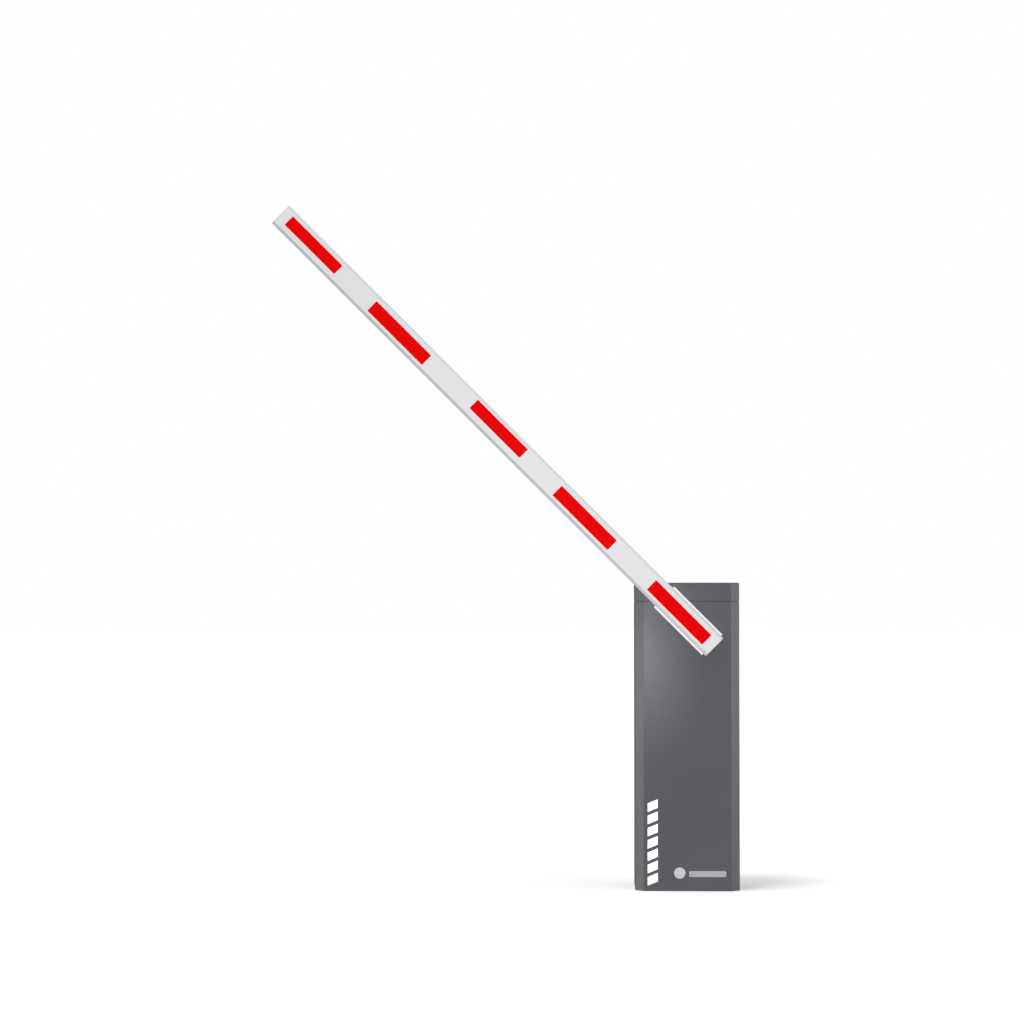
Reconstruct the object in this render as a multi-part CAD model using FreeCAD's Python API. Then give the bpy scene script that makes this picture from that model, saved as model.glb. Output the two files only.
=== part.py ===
"""Parking barrier gate: a floor-standing drive cabinet that raises and lowers a straight boom.

Millimetres, +Z up. The origin is the centre of the anchor pattern on the underside of the base
plate. The cabinet's front looks along -Y and the boom lies in front of it, raised 45 degrees
towards -X and +Z. The main shaft runs along Y.
"""
import FreeCAD, Part
import math
import os

V = FreeCAD.Vector
X_AXIS = V(1, 0, 0)
Y_AXIS = V(0, 1, 0)
Z_AXIS = V(0, 0, 1)

# ---- general fits ---------------------------------------------------------------------------
FREE_GAP = 0.3            # between surfaces that pass each other without touching
RUN_GAP = 0.05            # radial clearance of a shaft in its bore
SEAM_GAP = 2.0            # shut lines of doors and covers

# ---- cabinet --------------------------------------------------------------------------------
CAB_W = 350.0
CAB_D = 300.0
CAB_H = 1030.0
CORNER = 28.0             # chamfer of the upright corners
SHEET = 2.0
BEND_R = 5.0              # outside radius of the upright bends
COVER_H = 64.0            # height of the top cover
COVER_EDGE_R = 5.0        # rounding of the cover's top edge
RIM_W = 14.0              # inward flange round the cabinet's mouth and the cover's foot
LIP_H = 12.0              # locating lip under the cover
GASKET_INSET = 2.5        # how far the cover gasket lies behind the outer faces

BASE_T = 8.0
ANCHOR_X = 260.0
ANCHOR_Y = 200.0
ANCHOR_HOLE_R = 7.0
CABLE_W = 140.0
CABLE_D = 120.0

# ---- service door in the back ---------------------------------------------------------------
DOOR_OPEN_W = 260.0
DOOR_OPEN_Z0 = 70.0
DOOR_OPEN_Z1 = 925.0
DOOR_RETURN = 20.0        # depth of the door's folded edges
REBATE_W = 12.0           # lip that the door closes against
SEAL_T = 1.7
HINGE_R = 6.0
HINGE_PIN_R = 3.0
HINGE_LEAF_T = 2.5
HINGE_LEAF_W = 27.0
HINGE_H = 40.0            # height of one half of a lift-off hinge
HINGE_INSET_Z = 110.0     # from the opening's ends to the hinge's middle
LOCK_Z = 500.0
LOCK_INSET = 25.0         # lock axis from the door opening's free side
LOCK_R = 11.0
LOCK_PLUG_R = 7.0
LOCK_HEAD_T = 4.0
CAM_T = 4.0
CAM_LEN = 24.0
CAM_R = 8.0
CAM_ROOT_R = 10.0
KEYWAY_W = 1.6
KEYWAY_H = 8.0
KEYWAY_DEPTH = 6.0
LOCK_NUT_T = 5.0

# ---- main shaft, hub and bracket ------------------------------------------------------------
SHAFT_Z = 903.0
SHAFT_R = 17.5
HUB_R = 46.0
HUB_T = 12.0
ESCUTCHEON_R = 44.0
ESCUTCHEON_T = 8.0
SEAL_RING_R = 26.0
HUB_GAP = 4.0             # from the escutcheon to the hub
PLATE_T = 6.0             # bracket sheet
BRACKET_LEN = 225.0
HUB_SCREW_R = 4.0
HUB_SCREW_HEAD_R = 8.0
HUB_SCREW_CIRCLE_R = 32.0
BRACKET_SLACK = 0.4       # between boom and bracket flanges

# ---- boom -----------------------------------------------------------------------------------
BOOM_LEN = 2050.0
BOOM_H = 83.0
BOOM_D = 45.0
BOOM_WALL = 2.0
BOOM_CHAMFER = 9.5
BOOM_EDGE_R = 1.6
BOOM_TAIL = 124.0         # from the pivot to the boom's lower end
BOOM_REST_DEG = 45.0
CAP_T = 3.0
CAP_PLUG = 20.0
NUT_STRIP_T = 8.0
NUT_STRIP_W = 40.0
BOOM_BOLT_R = 4.0
BOOM_BOLT_X = 85.0
BOOM_BOLT_SPREAD = 24.0
STRIP_T = 0.4
STRIP_R = 2.0
STRIP_SMALL = (236.0, 39.7)
STRIP_LARGE = (259.0, 44.3)
STRIP_FIRST = 164.7       # middle of the lowest strip from the boom's lower end
STRIP_LAST = 153.0        # middle of the highest strip from the boom's tip
# the strips are stuck on by hand: shift along from even spacing, offset across, size
STRIPS = (
    (0.0, -1.2, STRIP_LARGE),
    (11.0, -0.8, STRIP_LARGE),
    (-9.0, 7.2, STRIP_SMALL),
    (20.0, -0.9, STRIP_LARGE),
    (0.0, 4.6, STRIP_SMALL),
)
BACK_STRIP_COUNT = 4      # the bracket covers the lowest place on the back

# ---- machine frame --------------------------------------------------------------------------
FRAME_SIDE_GAP = 33.0     # from the cabinet's sides to the machine frame
FRAME_W = CAB_W - 2 * (SHEET + FRAME_SIDE_GAP)
FRAME_T = 8.0
FRAME_Y0 = -120.0         # front face of the front plate
FRAME_PITCH = 126.0       # front plate's front face to rear plate's front face
FRAME_Z0 = 548.0
FRAME_TOP_ABOVE_SHAFT = 56.0
TIE_R = 8.0
TIE_INSET = 20.0
RAIL_LEG = 50.0
RAIL_T = 4.0
FRAME_BOLT_R = 4.0
FRAME_BOLT_EDGE = 9.0      # deck bolts from the frame's sides
FRAME_BOLT_FRONT = 28.0    # deck bolts from the front and the rear plate
FRAME_BOLT_REAR = 20.0

# ---- bearings -------------------------------------------------------------------------------
BEARING_T = 18.0
BEARING_R = 36.0
BEARING_EAR_X = 48.0
BEARING_EAR_R = 12.0
BEARING_RING_R = 25.0     # outside of the inner ring
BEARING_BOLT_R = 5.0
BUSH_WALL = 4.0
BUSH_FLANGE = 3.0

# ---- crank drive ----------------------------------------------------------------------------
CRANK_DROP = 200.0        # crankshaft below the main shaft, and the connecting rod's length
CRANK_RADIUS = 55.0       # crank and rocker, pin to shaft
CRANKSHAFT_R = 12.5
LEVER_T = 14.0
LEVER_HUB_R = 32.0
CRANK_HUB_R = 26.0
LEVER_EYE_R = 16.0
PIN_R = 7.0
PIN_HEAD_R = 10.0
PIN_HEAD_T = 3.0
PIN_TIP = 4.0             # of a pin beyond its washer
ROD_T = 12.0
LEVER_GAP = 12.0          # from the front bearing to the levers, room for the bolt heads
ROD_EYE_R = 15.0
ROD_R = 7.2
ROD_SOCKET_R = 5.2
ROD_GAP = 2.0             # between the levers and the rod's eyes
WASHER_T = 2.0
WASHER_R = 12.0
ROD_SOCKET_REACH = 44.0   # from the eye's middle to the socket's end
ROD_TUBE_START = 26.0     # from the eye's middle to the tube's end
STOP_LUG_LEN = 54.0
STOP_LUG_W = 20.0
STOP_PAD_R = 8.0
STOP_PAD_LEN = 10.0
STOP_PLATE_T = 6.0
SWING_DEG = 45.0          # travel to each side of the rest position

# ---- gears and motor ------------------------------------------------------------------------
MODULE = 2.5
GEAR_TEETH = 60
PINION_TEETH = 15
PRESSURE_DEG = 25.0
BACKLASH = 0.3            # taken off each tooth's thickness
GEAR_W = 16.0
PINION_W = 20.0
PINION_SHAFT_R = 7.0
GEARHEAD_R = 42.0
GEARHEAD_LEN = 48.0
MOTOR_R = 40.0
MOTOR_LEN = 76.0
MOTOR_SCREW_R = 2.5
MOTOR_SCREW_INSET = 7.0
MOTOR_SCREW_DEPTH = 10.0
GROOVE_COUNT = 5
GROOVE_FIRST = 18.0
GROOVE_PITCH = 8.0
GROOVE_W = 3.0
GROOVE_DEPTH = 2.0
GLAND_R = 8.0
GLAND_LEN = 14.0
GLAND_INSET = 16.0        # from the motor's end to the gland's middle

# ---- balance spring -------------------------------------------------------------------------
SPRING_WIRE_R = 3.5
SPRING_R = 33.0           # middle of the wire
SPRING_PITCH = 8.2
SPRING_TURNS = 4
SPRING_LEG = 34.0
COLLAR_T = 8.0
COLLAR_R = 45.0
PEG_R = 4.0
PEG_FROM_LEG_END = 6.0
ANCHOR_BLOCK_W = 12.0
ANCHOR_BLOCK_H = 18.0
ANCHOR_BLOCK_OVERHANG = 2.0

# ---- end sensors ----------------------------------------------------------------------------
FLAG_R = SHAFT_R + 16.5
FLAG_T = 3.0
FLAG_HUB_T = 3.5
FLAG_HUB_WALL = 6.0
FLAG_CUT_BELOW = 10.0     # the sector ends this far below the shaft's axis
FLAG_FROM_BEARING = 4.0
SENSOR_R = 6.0
SENSOR_LEN = 34.0
SENSOR_GAP = 1.5
SENSOR_INSET = 8.0        # sensor axes inside the flag's rim
SENSOR_DEGREES = (205.0, 335.0)
SENSOR_SHEET_FROM_TIP = 12.0
SENSOR_SHEET_T = 3.0
SENSOR_SHEET_X = BEARING_EAR_X + BEARING_EAR_R + 4.0
SENSOR_SHEET_BELOW = (44.0, 2.0)    # lower and upper edge below the shaft's axis
SENSOR_NOTCH_BELOW = 24.0

# ---- electrical panel -----------------------------------------------------------------------
UPRIGHT_W = 25.0
UPRIGHT_T = 3.0
UPRIGHT_X = FRAME_W / 2 - UPRIGHT_W
PANEL_Y = 20.0
PANEL_W = FRAME_W
PANEL_Z0 = 140.0
PANEL_Z1 = 500.0
BOARD_W = 160.0
BOARD_H = 110.0
BOARD_T = 1.6
BOARD_Z0 = 370.0
STANDOFF_H = 10.0
STANDOFF_R = 3.5
STANDOFF_INSET = 6.0
PLUG_ROW_INSET = 14.0     # plug row on the board's lower edge
PLUG_ROW_Z = (3.0, 14.0)
PLUG_ROW_H = 12.0
RELAY_COUNT = 4
RELAY_W = 18.0
RELAY_PITCH = 22.0
RELAY_Z = (24.0, 42.0)
RELAY_H = 16.0
CAPACITOR_R = 9.0
CAPACITOR_H = 26.0
CAPACITOR_Z = 40.0
CAPACITOR_X = (42.0, 18.0)    # from the board's right edge
BUTTON_ROW_DROP = 22.0        # from the board's upper edge
BUTTON_R = 4.0
BUTTON_TRAVEL = 1.2
BUTTON_PITCH = 24.0
BUTTON_BASE = 14.0
BUTTON_BASE_H = 6.0
BUTTON_STAND = 5.0
BUTTON_FLOOR = 1.0
PSU_SIZE = (115.0, 42.0, 95.0)
PSU_INSET = (12.0, 20.0)      # from the panel's left and lower edge
VENT_COUNT = 7
VENT_FIRST = 14.0
VENT_PITCH = 13.0
VENT_W = 4.0
VENT_DEPTH = 2.0
VENT_ENDS = (30.0, 12.0)      # from the case's lower and upper end
LEDGE_W = 4.0                 # sides of the terminal ledge
LEDGE_DEPTH = 12.0
LEDGE_H = 16.0
RAIL_LEN = 230.0
DIN_H = 35.0
DIN_D = 7.5
DIN_Z = 315.0
DIN_T = 1.0
DIN_LIP = 5.0             # width of the rail's lips
DIN_WEB = 4.0             # from the rail's edges to its webs
BREAKER_SIZE = (36.0, 62.0, 84.0)
BREAKER_NOSE = 18.0       # of the breaker's middle beyond its shoulders
BREAKER_FROM_END = 20.0   # from the rail's end
BREAKER_CHEEK = 5.0       # beside the toggle
TOGGLE_AXIS_DEPTH = 4.0
TOGGLE_W = 20.0
TOGGLE_T = 4.0
TOGGLE_DEG = 30.0
TOGGLE_R = 6.0
TOGGLE_LEN = 12.0
TERMINAL_SIZE = (8.0, 44.0, 58.0)
TERMINAL_COUNT = 8
TERMINAL_FROM_END = 12.0
TERMINAL_GAP = 0.4
TERMINAL_HOLE_R = 2.2
TERMINAL_HOLE_DEPTH = 6.0

# ---- places worked out from the sizes above -------------------------------------------------
FRONT_Y = -CAB_D / 2
BACK_Y = CAB_D / 2
SIDE_X = CAB_W / 2
BODY_H = CAB_H - COVER_H                    # top of the cabinet body
COVER_Z0 = BODY_H + SEAM_GAP
REAR_PLATE_Y = FRAME_Y0 + FRAME_PITCH
DECK_Z1 = FRAME_Z0 + FRAME_T
CRANK_Z = SHAFT_Z - CRANK_DROP
GEAR_DISTANCE = MODULE * (GEAR_TEETH + PINION_TEETH) / 2
PINION_Z = CRANK_Z - GEAR_DISTANCE
FRONT_BEARING_Y = FRAME_Y0 + FRAME_T
REAR_BEARING_Y = REAR_PLATE_Y + FRAME_T
LEVER_Y = FRONT_BEARING_Y + BEARING_T + LEVER_GAP
ROD_Y = LEVER_Y + LEVER_T + ROD_GAP
PIN_END_Y = ROD_Y + ROD_T + WASHER_T + PIN_TIP
COLLAR_Y = PIN_END_Y + 2.0
SPRING_Y0 = COLLAR_Y + COLLAR_T + FREE_GAP + SPRING_WIRE_R
SPRING_Y1 = SPRING_Y0 + SPRING_TURNS * SPRING_PITCH
GEAR_Y = REAR_PLATE_Y - 8.0 - GEAR_W
HUB_Y = FRONT_Y - ESCUTCHEON_T - HUB_GAP    # back face of the hub
PLATE_Y = HUB_Y - HUB_T                     # back face of the bracket
BOOM_BACK_Y = PLATE_Y - PLATE_T
BOOM_FRONT_Y = BOOM_BACK_Y - BOOM_D
NUT_STRIP_LEN = 2 * (BOOM_TAIL - CAP_T - CAP_PLUG - 1.0)
FLAG_Y = REAR_BEARING_Y + BEARING_T + FLAG_FROM_BEARING
SENSOR_Y = FLAG_Y + FLAG_T + SENSOR_GAP
SHAFT_END_Y = REAR_BEARING_Y + BEARING_T + 12.0
PANEL_FACE_Y = PANEL_Y + SHEET
BOARD_Y = PANEL_FACE_Y + STANDOFF_H
DOOR_W = DOOR_OPEN_W - 2 * SEAM_GAP
DOOR_Z0 = DOOR_OPEN_Z0 + SEAM_GAP
DOOR_Z1 = DOOR_OPEN_Z1 - SEAM_GAP
DOOR_X0 = -DOOR_W / 2
REBATE_Y = BACK_Y - DOOR_RETURN - SEAL_T - FREE_GAP
HINGE_X = -DOOR_OPEN_W / 2 - SEAM_GAP / 2 + 1.0
HINGE_Y = BACK_Y + HINGE_R + 1.0
LOCK_X = DOOR_OPEN_W / 2 - LOCK_INSET
CAM_Y1 = REBATE_Y - SHEET - FREE_GAP * 4


# ---- shape helpers --------------------------------------------------------------------------
def box(x0, x1, y0, y1, z0, z1):
    return Part.makeBox(x1 - x0, y1 - y0, z1 - z0, V(x0, y0, z0))


def mirrored_box(side, x0, x1, y0, y1, z0, z1):
    """Box on the +X side, or its mirror image when side is -1."""
    near, far = sorted((side * x0, side * x1))
    return box(near, far, y0, y1, z0, z1)


def cyl_y(x, z, radius, y0, y1):
    """Round bar along Y."""
    return Part.makeCylinder(radius, y1 - y0, V(x, y0, z), Y_AXIS)


def cyl_z(x, y, radius, z0, z1):
    return Part.makeCylinder(radius, z1 - z0, V(x, y, z0), Z_AXIS)


def cyl_x(y, z, radius, x0, x1):
    return Part.makeCylinder(radius, x1 - x0, V(x0, y, z), X_AXIS)


def ring_y(x, z, outer, inner, y0, y1):
    return cyl_y(x, z, outer, y0, y1).cut(cyl_y(x, z, inner, y0 - 1, y1 + 1))


def fuse(shapes):
    """One solid from several that touch or overlap."""
    first = shapes[0]
    return first.multiFuse(shapes[1:]).removeSplitter() if len(shapes) > 1 else first


def turned(shape, degrees, x=0.0, z=0.0):
    """The shape turned about the Y line through x, z."""
    result = shape.copy()
    result.rotate(V(x, 0, z), Y_AXIS, degrees)
    return result


def chamfered_prism(width, depth, corner, z0, z1):
    """Upright prism with four chamfered corners, centred on the Z axis."""
    x, y = width / 2, depth / 2
    outline = [(-x + corner, -y), (x - corner, -y), (x, -y + corner), (x, y - corner),
               (x - corner, y), (-x + corner, y), (-x, y - corner), (-x, -y + corner)]
    points = [V(px, py, z0) for px, py in outline]
    face = Part.Face(Part.makePolygon(points + points[:1]))
    return face.extrude(V(0, 0, z1 - z0))


def shrunk_corner(inset):
    """Chamfer of an outline that lies inside the cabinet's by the given distance on every face."""
    return CORNER - inset * (2 - math.sqrt(2))


def round_long_edges(shape, length, radius):
    """Rounds the straight edges of a prism that run its whole length."""
    edges = [e for e in shape.Edges if abs(e.Length - length) < 1e-6]
    return shape.makeFillet(radius, edges)


def cabinet_prism(inset, z0, z1):
    """The cabinet's outline with its bent corners, drawn in by inset."""
    prism = chamfered_prism(CAB_W - 2 * inset, CAB_D - 2 * inset, shrunk_corner(inset), z0, z1)
    return round_long_edges(prism, z1 - z0, max(BEND_R - inset, BEND_R / 10))


def link_plate(big_r, small_r, distance, y0, y1):
    """Flat lever: the hull of a big eye on the axis and a small eye at +X."""
    beta = math.acos((big_r - small_r) / distance)
    c, s = math.cos(beta), math.sin(beta)
    top_big, low_big = V(big_r * c, y0, big_r * s), V(big_r * c, y0, -big_r * s)
    top_small = V(distance + small_r * c, y0, small_r * s)
    low_small = V(distance + small_r * c, y0, -small_r * s)
    edges = [
        Part.Arc(top_big, V(-big_r, y0, 0), low_big).toShape(),
        Part.LineSegment(low_big, low_small).toShape(),
        Part.Arc(low_small, V(distance + small_r, y0, 0), top_small).toShape(),
        Part.LineSegment(top_small, top_big).toShape(),
    ]
    return Part.Face(Part.Wire(edges)).extrude(V(0, y1 - y0, 0))


def moved(shape, x=0.0, y=0.0, z=0.0):
    result = shape.copy()
    result.translate(V(x, y, z))
    return result


def hex_bolt_y(x, z, radius, y_head, length, direction):
    """Hexagon bolt along Y: the head stands on y_head and the shank runs the way of direction."""
    head_h, head_r = 1.3 * radius, 1.85 * radius
    points = []
    for i in range(6):
        a = math.radians(60 * i + 30)
        points.append(V(x + head_r * math.cos(a), y_head, z + head_r * math.sin(a)))
    head = Part.Face(Part.makePolygon(points + points[:1])).extrude(V(0, -direction * head_h, 0))
    start = min(y_head, y_head + direction * length)
    return fuse([head, cyl_y(x, z, radius, start, start + length)])


def gear_outline(teeth, thickness_loss, y0):
    """Wire of an involute gear in the XZ plane, with a tooth's middle at +X."""
    pitch_r = MODULE * teeth / 2
    base_r = pitch_r * math.cos(math.radians(PRESSURE_DEG))
    tip_r = pitch_r + MODULE
    root_r = pitch_r - 1.25 * MODULE
    pressure = math.radians(PRESSURE_DEG)
    half = (math.pi * MODULE / 2 - thickness_loss) / 2 / pitch_r + math.tan(pressure) - pressure

    def flank(radius):
        roll = math.sqrt(max((radius / base_r) ** 2 - 1, 0))
        return half - (roll - math.atan(roll))

    def point(radius, angle):
        return V(radius * math.cos(angle), y0, radius * math.sin(angle))

    foot_r = max(base_r, root_r)
    mid_r = (foot_r + tip_r) / 2
    step = 2 * math.pi / teeth
    edges = []
    for i in range(teeth):
        a = i * step
        low, low2 = point(foot_r, a - flank(foot_r)), point(foot_r, a + flank(foot_r))
        tip, tip2 = point(tip_r, a - flank(tip_r)), point(tip_r, a + flank(tip_r))
        root, root2 = point(root_r, a - flank(foot_r)), point(root_r, a + flank(foot_r))
        next_root = point(root_r, a + step - flank(foot_r))
        if foot_r > root_r:
            edges.append(Part.LineSegment(root, low).toShape())
        edges.append(Part.Arc(low, point(mid_r, a - flank(mid_r)), tip).toShape())
        edges.append(Part.Arc(tip, point(tip_r, a), tip2).toShape())
        edges.append(Part.Arc(tip2, point(mid_r, a + flank(mid_r)), low2).toShape())
        if foot_r > root_r:
            edges.append(Part.LineSegment(low2, root2).toShape())
        edges.append(Part.Arc(root2, point(root_r, a + step / 2), next_root).toShape())
    return Part.Wire(edges)


def gear(teeth, width, y0):
    return Part.Face(gear_outline(teeth, BACKLASH, y0)).extrude(V(0, width, 0))


# ---- cabinet --------------------------------------------------------------------------------
def base_plate():
    plate = cabinet_prism(SHEET, 0, BASE_T)
    for sx in (-1, 1):
        for sy in (-1, 1):
            plate = plate.cut(cyl_z(sx * ANCHOR_X / 2, sy * ANCHOR_Y / 2, ANCHOR_HOLE_R, -1, BASE_T + 1))
    entry = box(-CABLE_W / 2, CABLE_W / 2, -CABLE_D / 2, CABLE_D / 2, -1, BASE_T + 1)
    return plate.cut(entry)


def cabinet_shell():
    skin = cabinet_prism(0, 0, BODY_H).cut(cabinet_prism(SHEET, -1, BODY_H - SHEET))
    mouth = cabinet_prism(SHEET + RIM_W, BODY_H - 2 * SHEET, BODY_H + 1)
    door_hole = box(-DOOR_OPEN_W / 2, DOOR_OPEN_W / 2, BACK_Y - 2 * SHEET, BACK_Y + 1,
                    DOOR_OPEN_Z0, DOOR_OPEN_Z1)
    shaft_hole = cyl_y(0, SHAFT_Z, SEAL_RING_R + 2, FRONT_Y - 1, FRONT_Y + 2 * SHEET)
    return skin.cut(mouth).cut(door_hole).cut(shaft_hole)


def door_frame():
    x, z0, z1 = DOOR_OPEN_W / 2, DOOR_OPEN_Z0, DOOR_OPEN_Z1
    y0, y1 = REBATE_Y - SHEET, BACK_Y - SHEET
    ring = box(-x - SHEET, x + SHEET, y0, y1, z0 - SHEET, z1 + SHEET)
    ring = ring.cut(box(-x, x, REBATE_Y, y1 + 1, z0, z1))
    inner = x - REBATE_W
    return ring.cut(box(-inner, inner, y0 - 1, y1 + 1, z0 + REBATE_W, z1 - REBATE_W))


def door_seal():
    x, z0, z1 = DOOR_W / 2, DOOR_Z0, DOOR_Z1
    width = REBATE_W - SEAM_GAP
    ring = box(-x, x, REBATE_Y, REBATE_Y + SEAL_T, z0, z1)
    return ring.cut(box(-x + width, x - width, REBATE_Y - 1, BACK_Y, z0 + width, z1 - width))


def cover_gasket():
    ring = cabinet_prism(GASKET_INSET, BODY_H, COVER_Z0)
    return ring.cut(cabinet_prism(RIM_W, BODY_H - 1, COVER_Z0 + 1))


def top_cover():
    hood = cabinet_prism(0, COVER_Z0, CAB_H)
    top_edges = [e for e in hood.Edges if all(abs(v.Z - CAB_H) < 1e-6 for v in e.Vertexes)]
    hood = hood.makeFillet(COVER_EDGE_R, top_edges)
    cavity = cabinet_prism(SHEET, COVER_Z0 + SHEET, CAB_H - SHEET)
    lip_inset = SHEET + RIM_W + 1.0
    mouth = cabinet_prism(lip_inset + SHEET, COVER_Z0 - LIP_H - 1, COVER_Z0 + 2 * SHEET)
    lip = cabinet_prism(lip_inset, COVER_Z0 - LIP_H, COVER_Z0 + SHEET)
    return fuse([hood.cut(cavity), lip]).cut(mouth)


# ---- service door ---------------------------------------------------------------------------
def service_door():
    x = DOOR_W / 2
    pan = box(-x, x, BACK_Y - DOOR_RETURN, BACK_Y, DOOR_Z0, DOOR_Z1)
    pan = pan.cut(box(-x + SHEET, x - SHEET, BACK_Y - DOOR_RETURN - 1, BACK_Y - SHEET,
                      DOOR_Z0 + SHEET, DOOR_Z1 - SHEET))
    return pan.cut(cyl_y(LOCK_X, LOCK_Z, LOCK_R, BACK_Y - 2 * SHEET, BACK_Y + 1))


def hinge_heights():
    return (DOOR_OPEN_Z0 + HINGE_INSET_Z, DOOR_OPEN_Z1 - HINGE_INSET_Z)


def hinge_half(side, z0, z1, bore):
    """Leaf and knuckle. side is -1 for the cabinet's half and +1 for the door's."""
    near, far = HINGE_X + side, HINGE_X + side * HINGE_LEAF_W
    leaf = box(min(near, far), max(near, far), BACK_Y, BACK_Y + HINGE_LEAF_T, z0, z1)
    bridge = box(min(HINGE_X, near), max(HINGE_X, near), BACK_Y + 1, BACK_Y + HINGE_LEAF_T, z0, z1)
    knuckle = cyl_z(HINGE_X, HINGE_Y, HINGE_R, z0, z1)
    return fuse([knuckle, bridge, leaf]).cut(cyl_z(HINGE_X, HINGE_Y, bore, z0 - 1, z1 + 1))


def cabinet_hinges():
    """Lower hinge halves with the pins that are fast in them."""
    halves = [hinge_half(-1, z - HINGE_H, z - FREE_GAP, HINGE_PIN_R) for z in hinge_heights()]
    pins = [cyl_z(HINGE_X, HINGE_Y, HINGE_PIN_R, z - HINGE_H, z + HINGE_H - 2) for z in hinge_heights()]
    return halves + pins


def door_hinges():
    return [hinge_half(1, z, z + HINGE_H, HINGE_PIN_R + RUN_GAP) for z in hinge_heights()]


def lock_barrel():
    body = cyl_y(LOCK_X, LOCK_Z, LOCK_R, CAM_Y1 + 1, BACK_Y)
    head = cyl_y(LOCK_X, LOCK_Z, LOCK_R + 4, BACK_Y, BACK_Y + LOCK_HEAD_T)
    nut = cyl_y(LOCK_X, LOCK_Z, LOCK_R + 3, BACK_Y - SHEET - LOCK_NUT_T, BACK_Y - SHEET)
    bore = cyl_y(LOCK_X, LOCK_Z, LOCK_PLUG_R + RUN_GAP, CAM_Y1, BACK_Y + LOCK_HEAD_T + 1)
    return fuse([body, head, nut]).cut(bore)


def lock_cam():
    """Key plug with the cam at its inner end. The cam stands upright when the lock is open."""
    plug = cyl_y(LOCK_X, LOCK_Z, LOCK_PLUG_R, CAM_Y1, BACK_Y + LOCK_HEAD_T - 0.5)
    face = BACK_Y + LOCK_HEAD_T
    keyway = box(LOCK_X - KEYWAY_W / 2, LOCK_X + KEYWAY_W / 2, face - KEYWAY_DEPTH, face,
                 LOCK_Z - KEYWAY_H / 2, LOCK_Z + KEYWAY_H / 2)
    cam = link_plate(CAM_ROOT_R, CAM_R, CAM_LEN, CAM_Y1 - CAM_T, CAM_Y1)
    cam = moved(turned(cam, -90), LOCK_X, 0, LOCK_Z)
    return fuse([plug.cut(keyway), cam])


# ---- hub, bracket and boom ------------------------------------------------------------------
def boom_frame(shape):
    """Takes a shape drawn with the boom level, its tip towards -X and the pivot at the origin."""
    return moved(turned(shape, BOOM_REST_DEG), 0, 0, SHAFT_Z)


def boom_x0():
    """Place of the boom's tip when the boom is drawn level."""
    return BOOM_TAIL - BOOM_LEN


def boom_prism(inset, x0, x1):
    half_h = BOOM_H / 2 - inset
    y0, y1 = BOOM_FRONT_Y + inset, BOOM_BACK_Y - inset
    c = BOOM_CHAMFER - inset * (2 - math.sqrt(2))
    outline = [(y0 + c, -half_h), (y1 - c, -half_h), (y1, -half_h + c), (y1, half_h - c),
               (y1 - c, half_h), (y0 + c, half_h), (y0, half_h - c), (y0, -half_h + c)]
    points = [V(x0, y, z) for y, z in outline]
    prism = Part.Face(Part.makePolygon(points + points[:1])).extrude(V(x1 - x0, 0, 0))
    return round_long_edges(prism, x1 - x0, max(BOOM_EDGE_R - inset, BOOM_EDGE_R / 4))


def boom_bolt_places():
    return [(sx * BOOM_BOLT_X, sz * BOOM_BOLT_SPREAD / 2) for sx in (-1, 1) for sz in (-1, 1)]


def boom():
    x0, x1 = boom_x0() + CAP_T, BOOM_TAIL - CAP_T
    tube = boom_prism(0, x0, x1).cut(boom_prism(BOOM_WALL, x0 - 1, x1 + 1))
    for x, z in boom_bolt_places():
        tube = tube.cut(cyl_y(x, z, BOOM_BOLT_R, BOOM_BACK_Y - 2 * BOOM_WALL, BOOM_BACK_Y + 1))
    return boom_frame(tube)


def boom_cap(at_tip):
    inside = BOOM_WALL + FREE_GAP / 2
    if at_tip:
        x = boom_x0()
        cap = fuse([boom_prism(0, x, x + CAP_T), boom_prism(inside, x, x + CAP_T + CAP_PLUG)])
        hollow = boom_prism(inside + CAP_T, x + CAP_T, x + 2 * CAP_T + CAP_PLUG)
    else:
        x = BOOM_TAIL
        cap = fuse([boom_prism(0, x - CAP_T, x), boom_prism(inside, x - CAP_T - CAP_PLUG, x)])
        hollow = boom_prism(inside + CAP_T, x - 2 * CAP_T - CAP_PLUG, x - CAP_T)
    return boom_frame(cap.cut(hollow))


def reflector(middle, offset, size, y0, y1):
    length, width = size
    x = BOOM_TAIL - middle
    film = box(x - length / 2, x + length / 2, y0, y1, offset - width / 2, offset + width / 2)
    corners = [e for e in film.Edges if abs(e.Vertexes[0].Y - e.Vertexes[1].Y) > STRIP_T / 2]
    return boom_frame(film.makeFillet(STRIP_R, corners))


def strip_places():
    """Middle from the boom's lower end, offset across and size of each strip, lowest first."""
    pitch = (BOOM_LEN - STRIP_FIRST - STRIP_LAST) / (len(STRIPS) - 1)
    return [(STRIP_FIRST + i * pitch + shift, offset, size)
            for i, (shift, offset, size) in enumerate(STRIPS)]


def front_reflectors():
    return [reflector(m, o, s, BOOM_FRONT_Y - STRIP_T, BOOM_FRONT_Y) for m, o, s in strip_places()]


def back_reflectors():
    upper = strip_places()[-BACK_STRIP_COUNT:]
    return [reflector(m, o, s, BOOM_BACK_Y, BOOM_BACK_Y + STRIP_T) for m, o, s in upper]


def hub_screw_places():
    r = HUB_SCREW_CIRCLE_R
    return [(r * math.cos(a), r * math.sin(a)) for a in (math.radians(d) for d in (0, 90, 180, 270))]


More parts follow.
